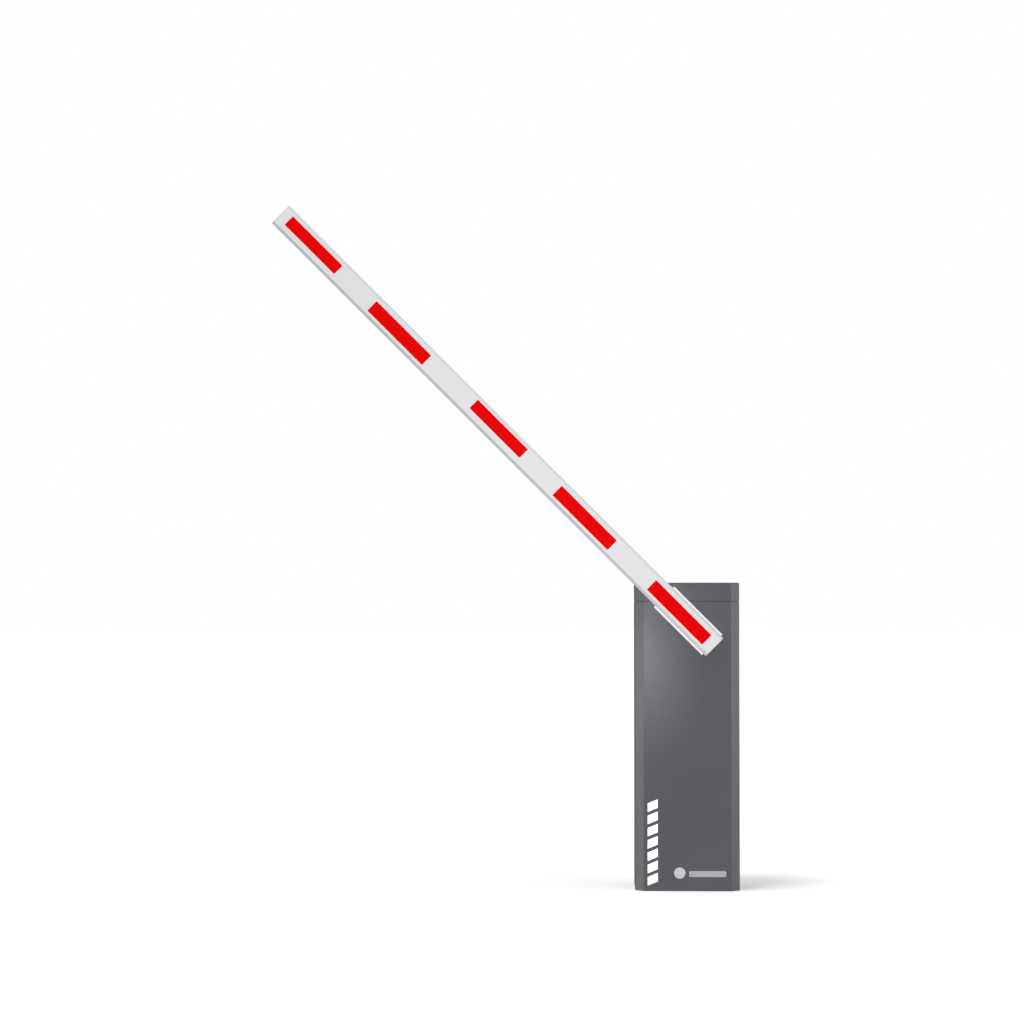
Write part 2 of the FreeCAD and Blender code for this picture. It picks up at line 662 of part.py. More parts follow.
def boom_bracket():
    half, inner = BRACKET_LEN / 2, BOOM_H / 2 + BRACKET_SLACK
    outer = inner + PLATE_T
    channel = box(-half, half, BOOM_FRONT_Y + BOOM_CHAMFER / 2, PLATE_Y, -outer, outer)
    channel = channel.cut(box(-half - 1, half + 1, BOOM_FRONT_Y - 1, BOOM_BACK_Y, -inner, inner))
    for x, z in hub_screw_places():
        channel = channel.cut(countersunk(x, z, 0))
    for x, z in boom_bolt_places():
        channel = channel.cut(cyl_y(x, z, BOOM_BOLT_R, BOOM_BACK_Y - 1, PLATE_Y + 1))
    return boom_frame(channel)


def countersunk(x, z, length):
    """Countersunk screw from the bracket's front into the hub, or its hole when length is 0."""
    depth = HUB_SCREW_HEAD_R - HUB_SCREW_R
    cone = Part.makeCone(HUB_SCREW_HEAD_R, HUB_SCREW_R, depth, V(x, BOOM_BACK_Y, z), Y_AXIS)
    end = length if length else PLATE_T + 1
    return fuse([cone, cyl_y(x, z, HUB_SCREW_R, BOOM_BACK_Y, BOOM_BACK_Y + end)])


def bracket_fasteners():
    """Countersunk screws into the hub, and hexagon bolts into the boom's nut strip."""
    length = PLATE_T + BOOM_WALL + NUT_STRIP_T
    screws = [countersunk(x, z, PLATE_T + HUB_T - 2) for x, z in hub_screw_places()]
    bolts = [hex_bolt_y(x, z, BOOM_BOLT_R, PLATE_Y, length, -1) for x, z in boom_bolt_places()]
    return [boom_frame(fastener) for fastener in screws + bolts]


def hub_flange():
    disc = cyl_y(0, 0, HUB_R, PLATE_Y, HUB_Y)
    disc = disc.cut(cyl_y(0, 0, SHAFT_R, PLATE_Y - 1, HUB_Y + 1))
    for x, z in hub_screw_places():
        disc = disc.cut(cyl_y(x, z, HUB_SCREW_R, PLATE_Y - 1, PLATE_Y + HUB_T - 2))
    return boom_frame(disc)


def nut_strip():
    y1 = BOOM_BACK_Y - BOOM_WALL
    strip = box(-NUT_STRIP_LEN / 2, NUT_STRIP_LEN / 2, y1 - NUT_STRIP_T, y1,
                -NUT_STRIP_W / 2, NUT_STRIP_W / 2)
    for x, z in boom_bolt_places():
        strip = strip.cut(cyl_y(x, z, BOOM_BOLT_R, y1 - NUT_STRIP_T - 1, y1 + 1))
    return boom_frame(strip)


def shaft_escutcheon():
    plate = ring_y(0, SHAFT_Z, ESCUTCHEON_R, SEAL_RING_R, FRONT_Y - ESCUTCHEON_T, FRONT_Y)
    rim = [e for e in plate.Edges if abs(e.BoundBox.YMin - (FRONT_Y - ESCUTCHEON_T)) < 1e-6
           and e.BoundBox.XLength > 2 * ESCUTCHEON_R - 1]
    return plate.makeFillet(ESCUTCHEON_T / 4, rim)


def shaft_seal():
    return ring_y(0, SHAFT_Z, SEAL_RING_R, SHAFT_R + FREE_GAP, FRONT_Y - ESCUTCHEON_T, FRONT_Y)


# ---- machine frame and bearings -------------------------------------------------------------
def machine_frame():
    x, z1 = FRAME_W / 2, SHAFT_Z + FRAME_TOP_ABOVE_SHAFT
    rear_end = REAR_PLATE_Y + FRAME_T
    front = box(-x, x, FRAME_Y0, FRAME_Y0 + FRAME_T, FRAME_Z0, z1)
    rear = box(-x, x, REAR_PLATE_Y, rear_end, FRAME_Z0, z1)
    deck = box(-x, x, FRAME_Y0, rear_end, FRAME_Z0, DECK_Z1)
    ties = [cyl_y(s * (x - TIE_INSET), z, TIE_R, FRAME_Y0 + 1, rear_end - 1)
            for s in (-1, 1) for z in (z1 - TIE_INSET, CRANK_Z - CRANK_RADIUS)]
    frame = fuse([front, rear, deck] + ties)
    holes = [cyl_y(0, SHAFT_Z, BEARING_RING_R, FRAME_Y0 - 1, rear_end + 1),
             cyl_y(0, CRANK_Z, CRANKSHAFT_R + BUSH_WALL, FRAME_Y0 - 1, rear_end + 1),
             cyl_y(0, PINION_Z, PINION_SHAFT_R + 2, REAR_PLATE_Y - 1, rear_end + 1)]
    for bx, by in frame_bolt_places():
        holes.append(cyl_z(bx, by, FRAME_BOLT_R, FRAME_Z0 - 1, DECK_Z1 + 1))
    for ex in (-BEARING_EAR_X, BEARING_EAR_X):
        holes.append(cyl_y(ex, SHAFT_Z, BEARING_BOLT_R, FRAME_Y0 - 1, rear_end + 1))
    for shape in holes:
        frame = frame.cut(shape)
    return frame


def frame_bolt_places():
    x = FRAME_W / 2 - FRAME_BOLT_EDGE
    rows = (FRAME_Y0 + FRAME_BOLT_FRONT, REAR_PLATE_Y - FRAME_BOLT_REAR)
    return [(sx * x, y) for sx in (-1, 1) for y in rows]


def frame_rails():
    """Two steel angles on the cabinet's sides that carry the machine frame's deck."""
    rails = []
    y0, y1 = FRAME_Y0, REAR_PLATE_Y + FRAME_T
    wall = SIDE_X - SHEET
    for s in (-1, 1):
        leg = mirrored_box(s, wall - RAIL_T, wall, y0, y1, FRAME_Z0 - RAIL_LEG, FRAME_Z0)
        shelf = mirrored_box(s, wall - RAIL_LEG, wall, y0, y1, FRAME_Z0 - RAIL_T, FRAME_Z0)
        rail = fuse([leg, shelf])
        for bx, by in frame_bolt_places():
            rail = rail.cut(cyl_z(bx, by, FRAME_BOLT_R, FRAME_Z0 - 2 * RAIL_T, FRAME_Z0 + 1))
        rails.append(rail)
    return rails


def frame_fasteners():
    """Bolts of the deck on its rails, and of the bearings on the frame's plates."""
    bolts = []
    for x, y in frame_bolt_places():
        head = cyl_z(x, y, 1.8 * FRAME_BOLT_R, DECK_Z1, DECK_Z1 + 1.3 * FRAME_BOLT_R)
        shank = cyl_z(x, y, FRAME_BOLT_R, FRAME_Z0 - RAIL_T, DECK_Z1 + 1)
        bolts.append(fuse([head, shank]))
    length = BEARING_T + FRAME_T
    for y in (FRONT_BEARING_Y, REAR_BEARING_Y):
        for x in (-BEARING_EAR_X, BEARING_EAR_X):
            bolts.append(hex_bolt_y(x, SHAFT_Z, BEARING_BOLT_R, y + BEARING_T, length, -1))
    return bolts


def bearing_housing(y0):
    right = link_plate(BEARING_R, BEARING_EAR_R, BEARING_EAR_X, y0, y0 + BEARING_T)
    left = turned(right, 180)
    housing = moved(fuse([right, left]), 0, 0, SHAFT_Z)
    housing = housing.cut(cyl_y(0, SHAFT_Z, BEARING_RING_R + RUN_GAP, y0 - 1, y0 + BEARING_T + 1))
    for x in (-BEARING_EAR_X, BEARING_EAR_X):
        housing = housing.cut(cyl_y(x, SHAFT_Z, BEARING_BOLT_R, y0 - 1, y0 + BEARING_T + 1))
    return housing


def bearing_housings():
    return [bearing_housing(y) for y in (FRONT_BEARING_Y, REAR_BEARING_Y)]


def inner_rings():
    return [ring_y(0, SHAFT_Z, BEARING_RING_R, SHAFT_R, y, y + BEARING_T)
            for y in (FRONT_BEARING_Y, REAR_BEARING_Y)]


def main_shaft():
    return cyl_y(0, SHAFT_Z, SHAFT_R, PLATE_Y, SHAFT_END_Y)


# ---- crank drive ----------------------------------------------------------------------------
def rocker():
    """Lever on the main shaft: the rod's eye points to +X and the stop lug to -X."""
    y1 = LEVER_Y + LEVER_T
    eye = link_plate(LEVER_HUB_R, LEVER_EYE_R, CRANK_RADIUS, LEVER_Y, y1)
    lug = box(-STOP_LUG_LEN, 0, LEVER_Y, y1, -STOP_LUG_W / 2, STOP_LUG_W / 2)
    lever = fuse([eye, lug]).cut(cyl_y(0, 0, SHAFT_R, LEVER_Y - 1, y1 + 1))
    lever = lever.cut(cyl_y(CRANK_RADIUS, 0, PIN_R, LEVER_Y - 1, y1 + 1))
    return moved(lever, 0, 0, SHAFT_Z)


def crank():
    y1 = LEVER_Y + LEVER_T
    arm = link_plate(CRANK_HUB_R, LEVER_EYE_R, CRANK_RADIUS, LEVER_Y, y1)
    arm = arm.cut(cyl_y(0, 0, CRANKSHAFT_R, LEVER_Y - 1, y1 + 1))
    arm = arm.cut(cyl_y(CRANK_RADIUS, 0, PIN_R, LEVER_Y - 1, y1 + 1))
    return moved(arm, 0, 0, CRANK_Z)


def link_pin(z):
    """Headed pin that is fast in a lever, with the washer that keeps the rod on."""
    shank = cyl_y(CRANK_RADIUS, z, PIN_R, LEVER_Y - PIN_HEAD_T, PIN_END_Y)
    head = cyl_y(CRANK_RADIUS, z, PIN_HEAD_R, LEVER_Y - PIN_HEAD_T, LEVER_Y)
    washer_y = ROD_Y + ROD_T + FREE_GAP
    washer = cyl_y(CRANK_RADIUS, z, WASHER_R, washer_y, washer_y + WASHER_T)
    return fuse([shank, head, washer])


def rod_eye(z, toward):
    """Rod end: an eye and a threaded socket that points up or down the rod."""
    eye = cyl_y(CRANK_RADIUS, z, ROD_EYE_R, ROD_Y, ROD_Y + ROD_T)
    middle = ROD_Y + ROD_T / 2
    reach = z + toward * ROD_SOCKET_REACH
    socket = cyl_z(CRANK_RADIUS, middle, ROD_SOCKET_R, min(z, reach), max(z, reach))
    end = fuse([eye, socket])
    return end.cut(cyl_y(CRANK_RADIUS, z, PIN_R + RUN_GAP, ROD_Y - 1, ROD_Y + ROD_T + 1))


def rod_ends():
    return [rod_eye(SHAFT_Z, -1), rod_eye(CRANK_Z, 1)]


def connecting_rod():
    middle = ROD_Y + ROD_T / 2
    tube = cyl_z(CRANK_RADIUS, middle, ROD_R, CRANK_Z + ROD_TUBE_START,
                 SHAFT_Z - ROD_TUBE_START)
    for eye in rod_ends():
        tube = tube.cut(eye)
    return tube


def crankshaft():
    return cyl_y(0, CRANK_Z, CRANKSHAFT_R, FRAME_Y0 - 4, REAR_PLATE_Y + FRAME_T + 6)


def crank_gear():
    """Gear with a tooth gap facing the pinion, lightened between rim and hub."""
    wheel = gear(GEAR_TEETH, GEAR_W, GEAR_Y)
    web_r = MODULE * GEAR_TEETH / 2 - 4 * MODULE
    for y0 in (GEAR_Y - 1, GEAR_Y + 0.7 * GEAR_W):
        wheel = wheel.cut(ring_y(0, 0, web_r, CRANK_HUB_R, y0, y0 + 0.3 * GEAR_W + 1))
    wheel = wheel.cut(cyl_y(0, 0, CRANKSHAFT_R, GEAR_Y - 1, GEAR_Y + GEAR_W + 1))
    half_tooth = 180.0 / GEAR_TEETH
    return moved(turned(wheel, 90.0 + half_tooth), 0, 0, CRANK_Z)


def crank_bushes():
    bushes = []
    outer = CRANKSHAFT_R + BUSH_WALL
    for y0, flange_y in ((FRAME_Y0, FRAME_Y0 + FRAME_T), (REAR_PLATE_Y, REAR_PLATE_Y - BUSH_FLANGE)):
        sleeve = cyl_y(0, CRANK_Z, outer, y0, y0 + FRAME_T)
        flange = cyl_y(0, CRANK_Z, outer + 5, flange_y, flange_y + BUSH_FLANGE)
        bush = fuse([sleeve, flange])
        bore = cyl_y(0, CRANK_Z, CRANKSHAFT_R + RUN_GAP, FRAME_Y0 - 1, REAR_PLATE_Y + 2 * FRAME_T)
        bushes.append(bush.cut(bore))
    return bushes


def pinion():
    """Pinion on the gearmotor's output shaft, with a tooth pointing at the crank gear."""
    wheel = gear(PINION_TEETH, PINION_W, GEAR_Y - (PINION_W - GEAR_W) / 2)
    shaft_end = REAR_PLATE_Y + FRAME_T + GEARHEAD_LEN / 2
    shaft = cyl_y(0, 0, PINION_SHAFT_R, GEAR_Y - 6, shaft_end)
    return moved(turned(fuse([wheel, shaft]), -90.0), 0, 0, PINION_Z)


def gearhead():
    y0 = REAR_PLATE_Y + FRAME_T
    body = cyl_y(0, PINION_Z, GEARHEAD_R, y0, y0 + GEARHEAD_LEN)
    body = body.cut(cyl_y(0, PINION_Z, PINION_SHAFT_R + RUN_GAP, y0 - 1, y0 + GEARHEAD_LEN / 2 + 1))
    for x, z in motor_screw_places():
        body = body.cut(cyl_y(x, z, MOTOR_SCREW_R, y0 - 1, y0 + MOTOR_SCREW_DEPTH))
    return body


def motor_screw_places():
    r = GEARHEAD_R - MOTOR_SCREW_INSET
    return [(r * math.cos(a), PINION_Z + r * math.sin(a))
            for a in (math.radians(d) for d in (45, 135, 225, 315))]


def motor():
    """Motor can with cooling grooves, an end bell and a cable gland."""
    y0 = REAR_PLATE_Y + FRAME_T + GEARHEAD_LEN
    y1 = y0 + MOTOR_LEN
    can = cyl_y(0, PINION_Z, MOTOR_R, y0, y1)
    for i in range(GROOVE_COUNT):
        y = y0 + GROOVE_FIRST + GROOVE_PITCH * i
        can = can.cut(ring_y(0, PINION_Z, MOTOR_R + 1, MOTOR_R - GROOVE_DEPTH, y, y + GROOVE_W))
    gland_x = -MOTOR_R + GLAND_R / 2
    gland = cyl_x(y1 - GLAND_INSET, PINION_Z, GLAND_R, gland_x - GLAND_LEN, gland_x)
    return fuse([can, gland])


# ---- stops, spring and sensors --------------------------------------------------------------
def stop_pose(shape, direction):
    """Takes a shape drawn at a lug that points to -X to where that lug stands at a travel limit."""
    return moved(turned(shape, direction * SWING_DEG), 0, 0, SHAFT_Z)


def stop_pads():
    pads = []
    radial = -(STOP_LUG_LEN - STOP_PAD_R - 2)
    y = LEVER_Y + LEVER_T / 2
    for direction in (1, -1):
        z = direction * (STOP_LUG_W / 2 + FREE_GAP)
        pad = Part.makeCylinder(STOP_PAD_R, STOP_PAD_LEN, V(radial, y, z), V(0, 0, direction))
        pads.append(stop_pose(pad, direction))
    return pads


def stop_brackets():
    brackets = []
    for direction in (1, -1):
        z0 = direction * (STOP_LUG_W / 2 + FREE_GAP + STOP_PAD_LEN)
        z1 = z0 + direction * STOP_PLATE_T
        plate = box(-STOP_LUG_LEN, -STOP_LUG_LEN + 2 * STOP_PAD_R + 6, FRONT_BEARING_Y,
                    LEVER_Y + LEVER_T + 3, min(z0, z1), max(z0, z1))
        brackets.append(stop_pose(plate, direction))
    return brackets


def balance_spring():
    """Torsion spring round the main shaft with one straight leg at each end."""
    height = SPRING_TURNS * SPRING_PITCH
    helix = Part.makeHelix(SPRING_PITCH, height, SPRING_R)
    section = Part.Wire(Part.makeCircle(SPRING_WIRE_R, V(SPRING_R, 0, 0), Y_AXIS))
    coil = Part.Wire(helix.Edges).makePipeShell([section], True, True)
    coil.rotate(V(0, 0, 0), X_AXIS, -90)
    coil.translate(V(0, SPRING_Y0, SHAFT_Z))
    low_leg = Part.makeCylinder(SPRING_WIRE_R, SPRING_LEG, V(SPRING_R, SPRING_Y0, SHAFT_Z), Z_AXIS)
    high_leg = Part.makeCylinder(SPRING_WIRE_R, SPRING_LEG, V(SPRING_R, SPRING_Y1, SHAFT_Z), -Z_AXIS)
    return [coil, low_leg, high_leg]


def spring_collar():
    """Disc clamped on the main shaft whose peg takes the spring's front leg."""
    disc = ring_y(0, SHAFT_Z, COLLAR_R, SHAFT_R, COLLAR_Y, COLLAR_Y + COLLAR_T)
    peg_x = SPRING_R - SPRING_WIRE_R - PEG_R - FREE_GAP
    peg_z = SHAFT_Z + SPRING_LEG - PEG_FROM_LEG_END
    peg = cyl_y(peg_x, peg_z, PEG_R, COLLAR_Y + 1, SPRING_Y0 + SPRING_WIRE_R)
    return fuse([disc, peg])


def spring_anchor():
    """Block on the rear plate that holds the spring's rear leg."""
    z0 = SHAFT_Z - SPRING_LEG - ANCHOR_BLOCK_H / 3
    x0 = SPRING_R + SPRING_WIRE_R + FREE_GAP
    y0 = SPRING_Y1 - SPRING_WIRE_R - ANCHOR_BLOCK_OVERHANG
    return box(x0, x0 + ANCHOR_BLOCK_W, y0, REAR_PLATE_Y, z0, z0 + ANCHOR_BLOCK_H)


def position_flag():
    """Steel sector on the shaft's rear end that the two end sensors read."""
    y0 = FLAG_Y
    disc = cyl_y(0, 0, FLAG_R, y0, y0 + FLAG_T)
    below = box(-FLAG_R - 1, FLAG_R + 1, y0 - 1, y0 + FLAG_T + 1, -FLAG_R - 1, -FLAG_CUT_BELOW)
    disc = disc.cut(below)
    hub = cyl_y(0, 0, SHAFT_R + FLAG_HUB_WALL, y0 - FLAG_HUB_T, y0 + FLAG_T)
    flag = fuse([disc, hub]).cut(cyl_y(0, 0, SHAFT_R, y0 - 2 * FLAG_HUB_T, y0 + 2 * FLAG_T))
    return moved(flag, 0, 0, SHAFT_Z)


def sensor_places():
    r = FLAG_R - SENSOR_INSET
    return [(r * math.cos(a), SHAFT_Z + r * math.sin(a)) for a in map(math.radians, SENSOR_DEGREES)]


def end_sensors():
    return [cyl_y(x, z, SENSOR_R, SENSOR_Y, SENSOR_Y + SENSOR_LEN) for x, z in sensor_places()]


def sensor_bracket():
    """Bent sheet on the rear plate with a hole for each sensor."""
    y0 = SENSOR_Y + SENSOR_SHEET_FROM_TIP
    y1 = y0 + SENSOR_SHEET_T
    z_low, z_high = (SHAFT_Z - drop for drop in SENSOR_SHEET_BELOW)
    outer, inner = SENSOR_SHEET_X, SENSOR_SHEET_X - SENSOR_SHEET_T
    face = box(-outer, outer, y0, y1, z_low, z_high)
    face = face.cut(box(-FLAG_R / 3, FLAG_R / 3, y0 - 1, y1 + 1, SHAFT_Z - SENSOR_NOTCH_BELOW, z_high + 1))
    legs = [mirrored_box(s, inner, outer, REAR_BEARING_Y, y1, z_low, z_high) for s in (-1, 1)]
    bracket = fuse([face] + legs)
    for sx, sz in sensor_places():
        bracket = bracket.cut(cyl_y(sx, sz, SENSOR_R, y0 - 1, y1 + 1))
    return bracket


# ---- electrical panel -----------------------------------------------------------------------
def panel_uprights():
    """Two angles that stand on the base plate and reach the frame rails."""
    uprights = []
    inner, outer = UPRIGHT_X, UPRIGHT_X + UPRIGHT_W
    y0, z1 = PANEL_Y - UPRIGHT_W, FRAME_Z0 - RAIL_T
    for s in (-1, 1):
        web = mirrored_box(s, inner, outer, PANEL_Y - UPRIGHT_T, PANEL_Y, BASE_T, z1)
        flange = mirrored_box(s, outer - UPRIGHT_T, outer, y0, PANEL_Y, BASE_T, z1)
        foot = mirrored_box(s, inner, outer, y0, PANEL_Y, BASE_T, BASE_T + UPRIGHT_T)
        uprights.append(fuse([web, flange, foot]))
    return uprights


def mounting_panel():
    return box(-PANEL_W / 2, PANEL_W / 2, PANEL_Y, PANEL_FACE_Y, PANEL_Z0, PANEL_Z1)


def standoff_places():
    rows = (BOARD_Z0 + STANDOFF_INSET, BOARD_Z0 + BOARD_H - STANDOFF_INSET)
    return [(sx * (BOARD_W / 2 - STANDOFF_INSET), z) for sx in (-1, 1) for z in rows]


def standoffs():
    return [cyl_y(x, z, STANDOFF_R, PANEL_FACE_Y, BOARD_Y) for x, z in standoff_places()]


def button_places():
    z = BOARD_Z0 + BOARD_H - BUTTON_ROW_DROP
    return [(i * BUTTON_PITCH, z) for i in (-1, 0, 1)]


def control_board():
    """Circuit board with its relays, capacitors, terminal row and the bases of the buttons."""
    y1, edge = BOARD_Y + BOARD_T, BOARD_W / 2
    board = box(-edge, edge, BOARD_Y, y1, BOARD_Z0, BOARD_Z0 + BOARD_H)
    row = edge - PLUG_ROW_INSET
    parts = [box(-row, row, y1, y1 + PLUG_ROW_H, BOARD_Z0 + PLUG_ROW_Z[0], BOARD_Z0 + PLUG_ROW_Z[1])]
    for i in range(RELAY_COUNT):
        x = -edge + RELAY_W + RELAY_PITCH * i
        parts.append(box(x, x + RELAY_W, y1, y1 + RELAY_H, BOARD_Z0 + RELAY_Z[0], BOARD_Z0 + RELAY_Z[1]))
    for inset in CAPACITOR_X:
        parts.append(cyl_y(edge - inset, BOARD_Z0 + CAPACITOR_Z, CAPACITOR_R, y1, y1 + CAPACITOR_H))
    for x, z in button_places():
        half = BUTTON_BASE / 2
        parts.append(box(x - half, x + half, y1, y1 + BUTTON_BASE_H, z - half, z + half))
    board = fuse([board] + parts)
    for x, z in button_places():
        board = board.cut(cyl_y(x, z, BUTTON_R + RUN_GAP, y1 + BUTTON_FLOOR, y1 + BUTTON_BASE_H + 1))
    return board


def button(index):
    x, z = button_places()[index]
    y0 = BOARD_Y + BOARD_T + BUTTON_FLOOR + BUTTON_TRAVEL + FREE_GAP
    return cyl_y(x, z, BUTTON_R, y0, BOARD_Y + BOARD_T + BUTTON_BASE_H + BUTTON_STAND)


def power_supply():
    w, d, h = PSU_SIZE
    x0, z0 = -PANEL_W / 2 + PSU_INSET[0], PANEL_Z0 + PSU_INSET[1]
    face = PANEL_FACE_Y + d
    case = box(x0, x0 + w, PANEL_FACE_Y, face, z0, z0 + h)
    low, high = z0 + VENT_ENDS[0], z0 + h - VENT_ENDS[1]
    for i in range(VENT_COUNT):
        x = x0 + VENT_FIRST + VENT_PITCH * i
        case = case.cut(box(x, x + VENT_W, face - VENT_DEPTH, face + 1, low, high))
    ledge = box(x0 + LEDGE_W, x0 + w - LEDGE_W, face - LEDGE_DEPTH, face + 1, z0 - 1, z0 + LEDGE_H)
    return case.cut(ledge)


def din_rail():
    x, z0, z1 = RAIL_LEN / 2, DIN_Z - DIN_H / 2, DIN_Z + DIN_H / 2
    y1 = PANEL_FACE_Y + DIN_D
    inner0, inner1 = z0 + DIN_WEB, z1 - DIN_WEB
    back = box(-x, x, PANEL_FACE_Y, PANEL_FACE_Y + DIN_T, inner0, inner1)
    webs = [box(-x, x, PANEL_FACE_Y, y1, z, z + DIN_T) for z in (inner0, inner1 - DIN_T)]
    lips = [box(-x, x, y1 - DIN_T, y1, z, z + DIN_LIP) for z in (z0, z1 - DIN_LIP)]
    return fuse([back] + webs + lips)


def breaker_x0():
    return RAIL_LEN / 2 - BREAKER_FROM_END - BREAKER_SIZE[0]


def toggle_axis():
    return PANEL_FACE_Y + DIN_D + BREAKER_SIZE[1] - TOGGLE_AXIS_DEPTH, DIN_Z


def circuit_breaker():
    w, d, h = BREAKER_SIZE
    x0, y0 = breaker_x0(), PANEL_FACE_Y + DIN_D
    low = box(x0, x0 + w, y0, y0 + d - BREAKER_NOSE, DIN_Z - h / 2, DIN_Z + h / 2)
    nose = box(x0, x0 + w, y0, y0 + d, DIN_Z - h / 4, DIN_Z + h / 4)
    y_axis, z_axis = toggle_axis()
    near, far, radius = x0 + BREAKER_CHEEK, x0 + w - BREAKER_CHEEK, TOGGLE_R + 1
    well = cyl_x(y_axis, z_axis, radius, near, far)
    mouth = box(near, far, y_axis, y0 + d + 1, z_axis - radius, z_axis + radius)
    return fuse([low, nose]).cut(well).cut(mouth)


def breaker_toggle():
    """Switch lever of the breaker, up when it is on."""
    x, w = breaker_x0() + BREAKER_SIZE[0] / 2, BREAKER_SIZE[0]
    y, z = toggle_axis()
    half = w / 2 - BREAKER_CHEEK - FREE_GAP
    drum = cyl_x(y, z, TOGGLE_R, x - half, x + half)
    lever = box(x - TOGGLE_W / 2, x + TOGGLE_W / 2, y, y + TOGGLE_R + TOGGLE_LEN,
                z - TOGGLE_T / 2, z + TOGGLE_T / 2)
    lever.rotate(V(0, y, z), X_AXIS, TOGGLE_DEG)
    return fuse([drum, lever])


def terminal_blocks():
    w, d, h = TERMINAL_SIZE
    blocks = []
    y0 = PANEL_FACE_Y + DIN_D
    for i in range(TERMINAL_COUNT):
        x = -RAIL_LEN / 2 + TERMINAL_FROM_END + w * (i + 0.5)
        half = (w - TERMINAL_GAP) / 2
        block = box(x - half, x + half, y0, y0 + d, DIN_Z - h / 2, DIN_Z + h / 2)
        for z in (DIN_Z - h / 3, DIN_Z + h / 3):
            block = block.cut(cyl_y(x, z, TERMINAL_HOLE_R, y0 + d - TERMINAL_HOLE_DEPTH, y0 + d + 1))
        blocks.append(block)
    return blocks


NODES = {
    "base_plate": base_plate,
    "cabinet_shell": cabinet_shell,
    "door_frame": door_frame,
    "door_seal": door_seal,
    "cover_gasket": cover_gasket,
    "top_cover": top_cover,
    "service_door": service_door,
    "cabinet_hinges": cabinet_hinges,
    "door_hinges": door_hinges,
    "lock_barrel": lock_barrel,
    "lock_cam": lock_cam,
    "boom": boom,
    "boom_cap_tip": lambda: boom_cap(True),
    "boom_cap_tail": lambda: boom_cap(False),
    "front_reflectors": front_reflectors,
    "back_reflectors": back_reflectors,
    "boom_bracket": boom_bracket,
    "bracket_fasteners": bracket_fasteners,
    "hub_flange": hub_flange,
    "nut_strip": nut_strip,
    "shaft_escutcheon": shaft_escutcheon,
    "shaft_seal": shaft_seal,
    "machine_frame": machine_frame,
    "frame_rails": frame_rails,
    "frame_fasteners": frame_fasteners,
    "bearing_housings": bearing_housings,
    "bearing_inner_rings": inner_rings,
    "main_shaft": main_shaft,
    "rocker": rocker,
    "rocker_pin": lambda: link_pin(SHAFT_Z),
    "crank": crank,
    "crank_pin": lambda: link_pin(CRANK_Z),
    "rod_ends": rod_ends,
    "connecting_rod": connecting_rod,
    "crankshaft": crankshaft,
    "crank_bushes": crank_bushes,
    "crank_gear": crank_gear,
    "pinion": pinion,
    "gearhead": gearhead,
    "motor": motor,
    "stop_pads": stop_pads,
    "stop_brackets": stop_brackets,
    "balance_spring": balance_spring,
    "spring_collar": spring_collar,
    "spring_anchor": spring_anchor,
    "position_flag": position_flag,
    "end_sensors": end_sensors,
    "sensor_bracket": sensor_bracket,
    "panel_uprights": panel_uprights,
    "mounting_panel": mounting_panel,
    "standoffs": standoffs,
    "din_rail": din_rail,
    "power_supply": power_supply,
    "terminal_blocks": terminal_blocks,
    "control_board": control_board,
    "button_up": lambda: button(0),
    "button_stop": lambda: button(1),
    "button_down": lambda: button(2),
    "circuit_breaker": circuit_breaker,
    "breaker_toggle": breaker_toggle,
}


def main():
    os.makedirs("parts", exist_ok=True)
    for name, make in NODES.items():
        made = make()
        shape = Part.makeCompound(made) if isinstance(made, list) else made
        if not shape.isValid():
            raise ValueError(f"{name} is not a valid shape")
        shape.exportStep(f"parts/{name}.step")
        print(f"{name}: {len(shape.Solids)} solid(s), {shape.Volume / 1000:.1f} cm3")


main()
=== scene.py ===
import math

import bmesh
import bpy
from mathutils import Euler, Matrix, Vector


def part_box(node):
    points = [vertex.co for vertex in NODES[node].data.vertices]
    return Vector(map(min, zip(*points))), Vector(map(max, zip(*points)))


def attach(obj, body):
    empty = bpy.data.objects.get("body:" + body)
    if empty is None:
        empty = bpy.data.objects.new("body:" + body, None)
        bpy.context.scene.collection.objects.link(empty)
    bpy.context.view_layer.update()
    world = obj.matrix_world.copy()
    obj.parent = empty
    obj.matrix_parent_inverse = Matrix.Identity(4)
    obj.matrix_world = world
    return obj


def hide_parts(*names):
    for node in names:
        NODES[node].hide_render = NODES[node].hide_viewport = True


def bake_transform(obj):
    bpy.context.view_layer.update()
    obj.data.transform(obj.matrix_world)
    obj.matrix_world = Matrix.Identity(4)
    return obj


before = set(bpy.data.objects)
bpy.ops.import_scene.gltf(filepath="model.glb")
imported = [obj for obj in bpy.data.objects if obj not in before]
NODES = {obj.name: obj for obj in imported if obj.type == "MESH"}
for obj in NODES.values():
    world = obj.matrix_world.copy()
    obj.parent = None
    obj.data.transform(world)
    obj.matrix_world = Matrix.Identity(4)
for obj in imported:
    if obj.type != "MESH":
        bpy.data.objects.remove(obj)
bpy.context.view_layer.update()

MM = 0.001


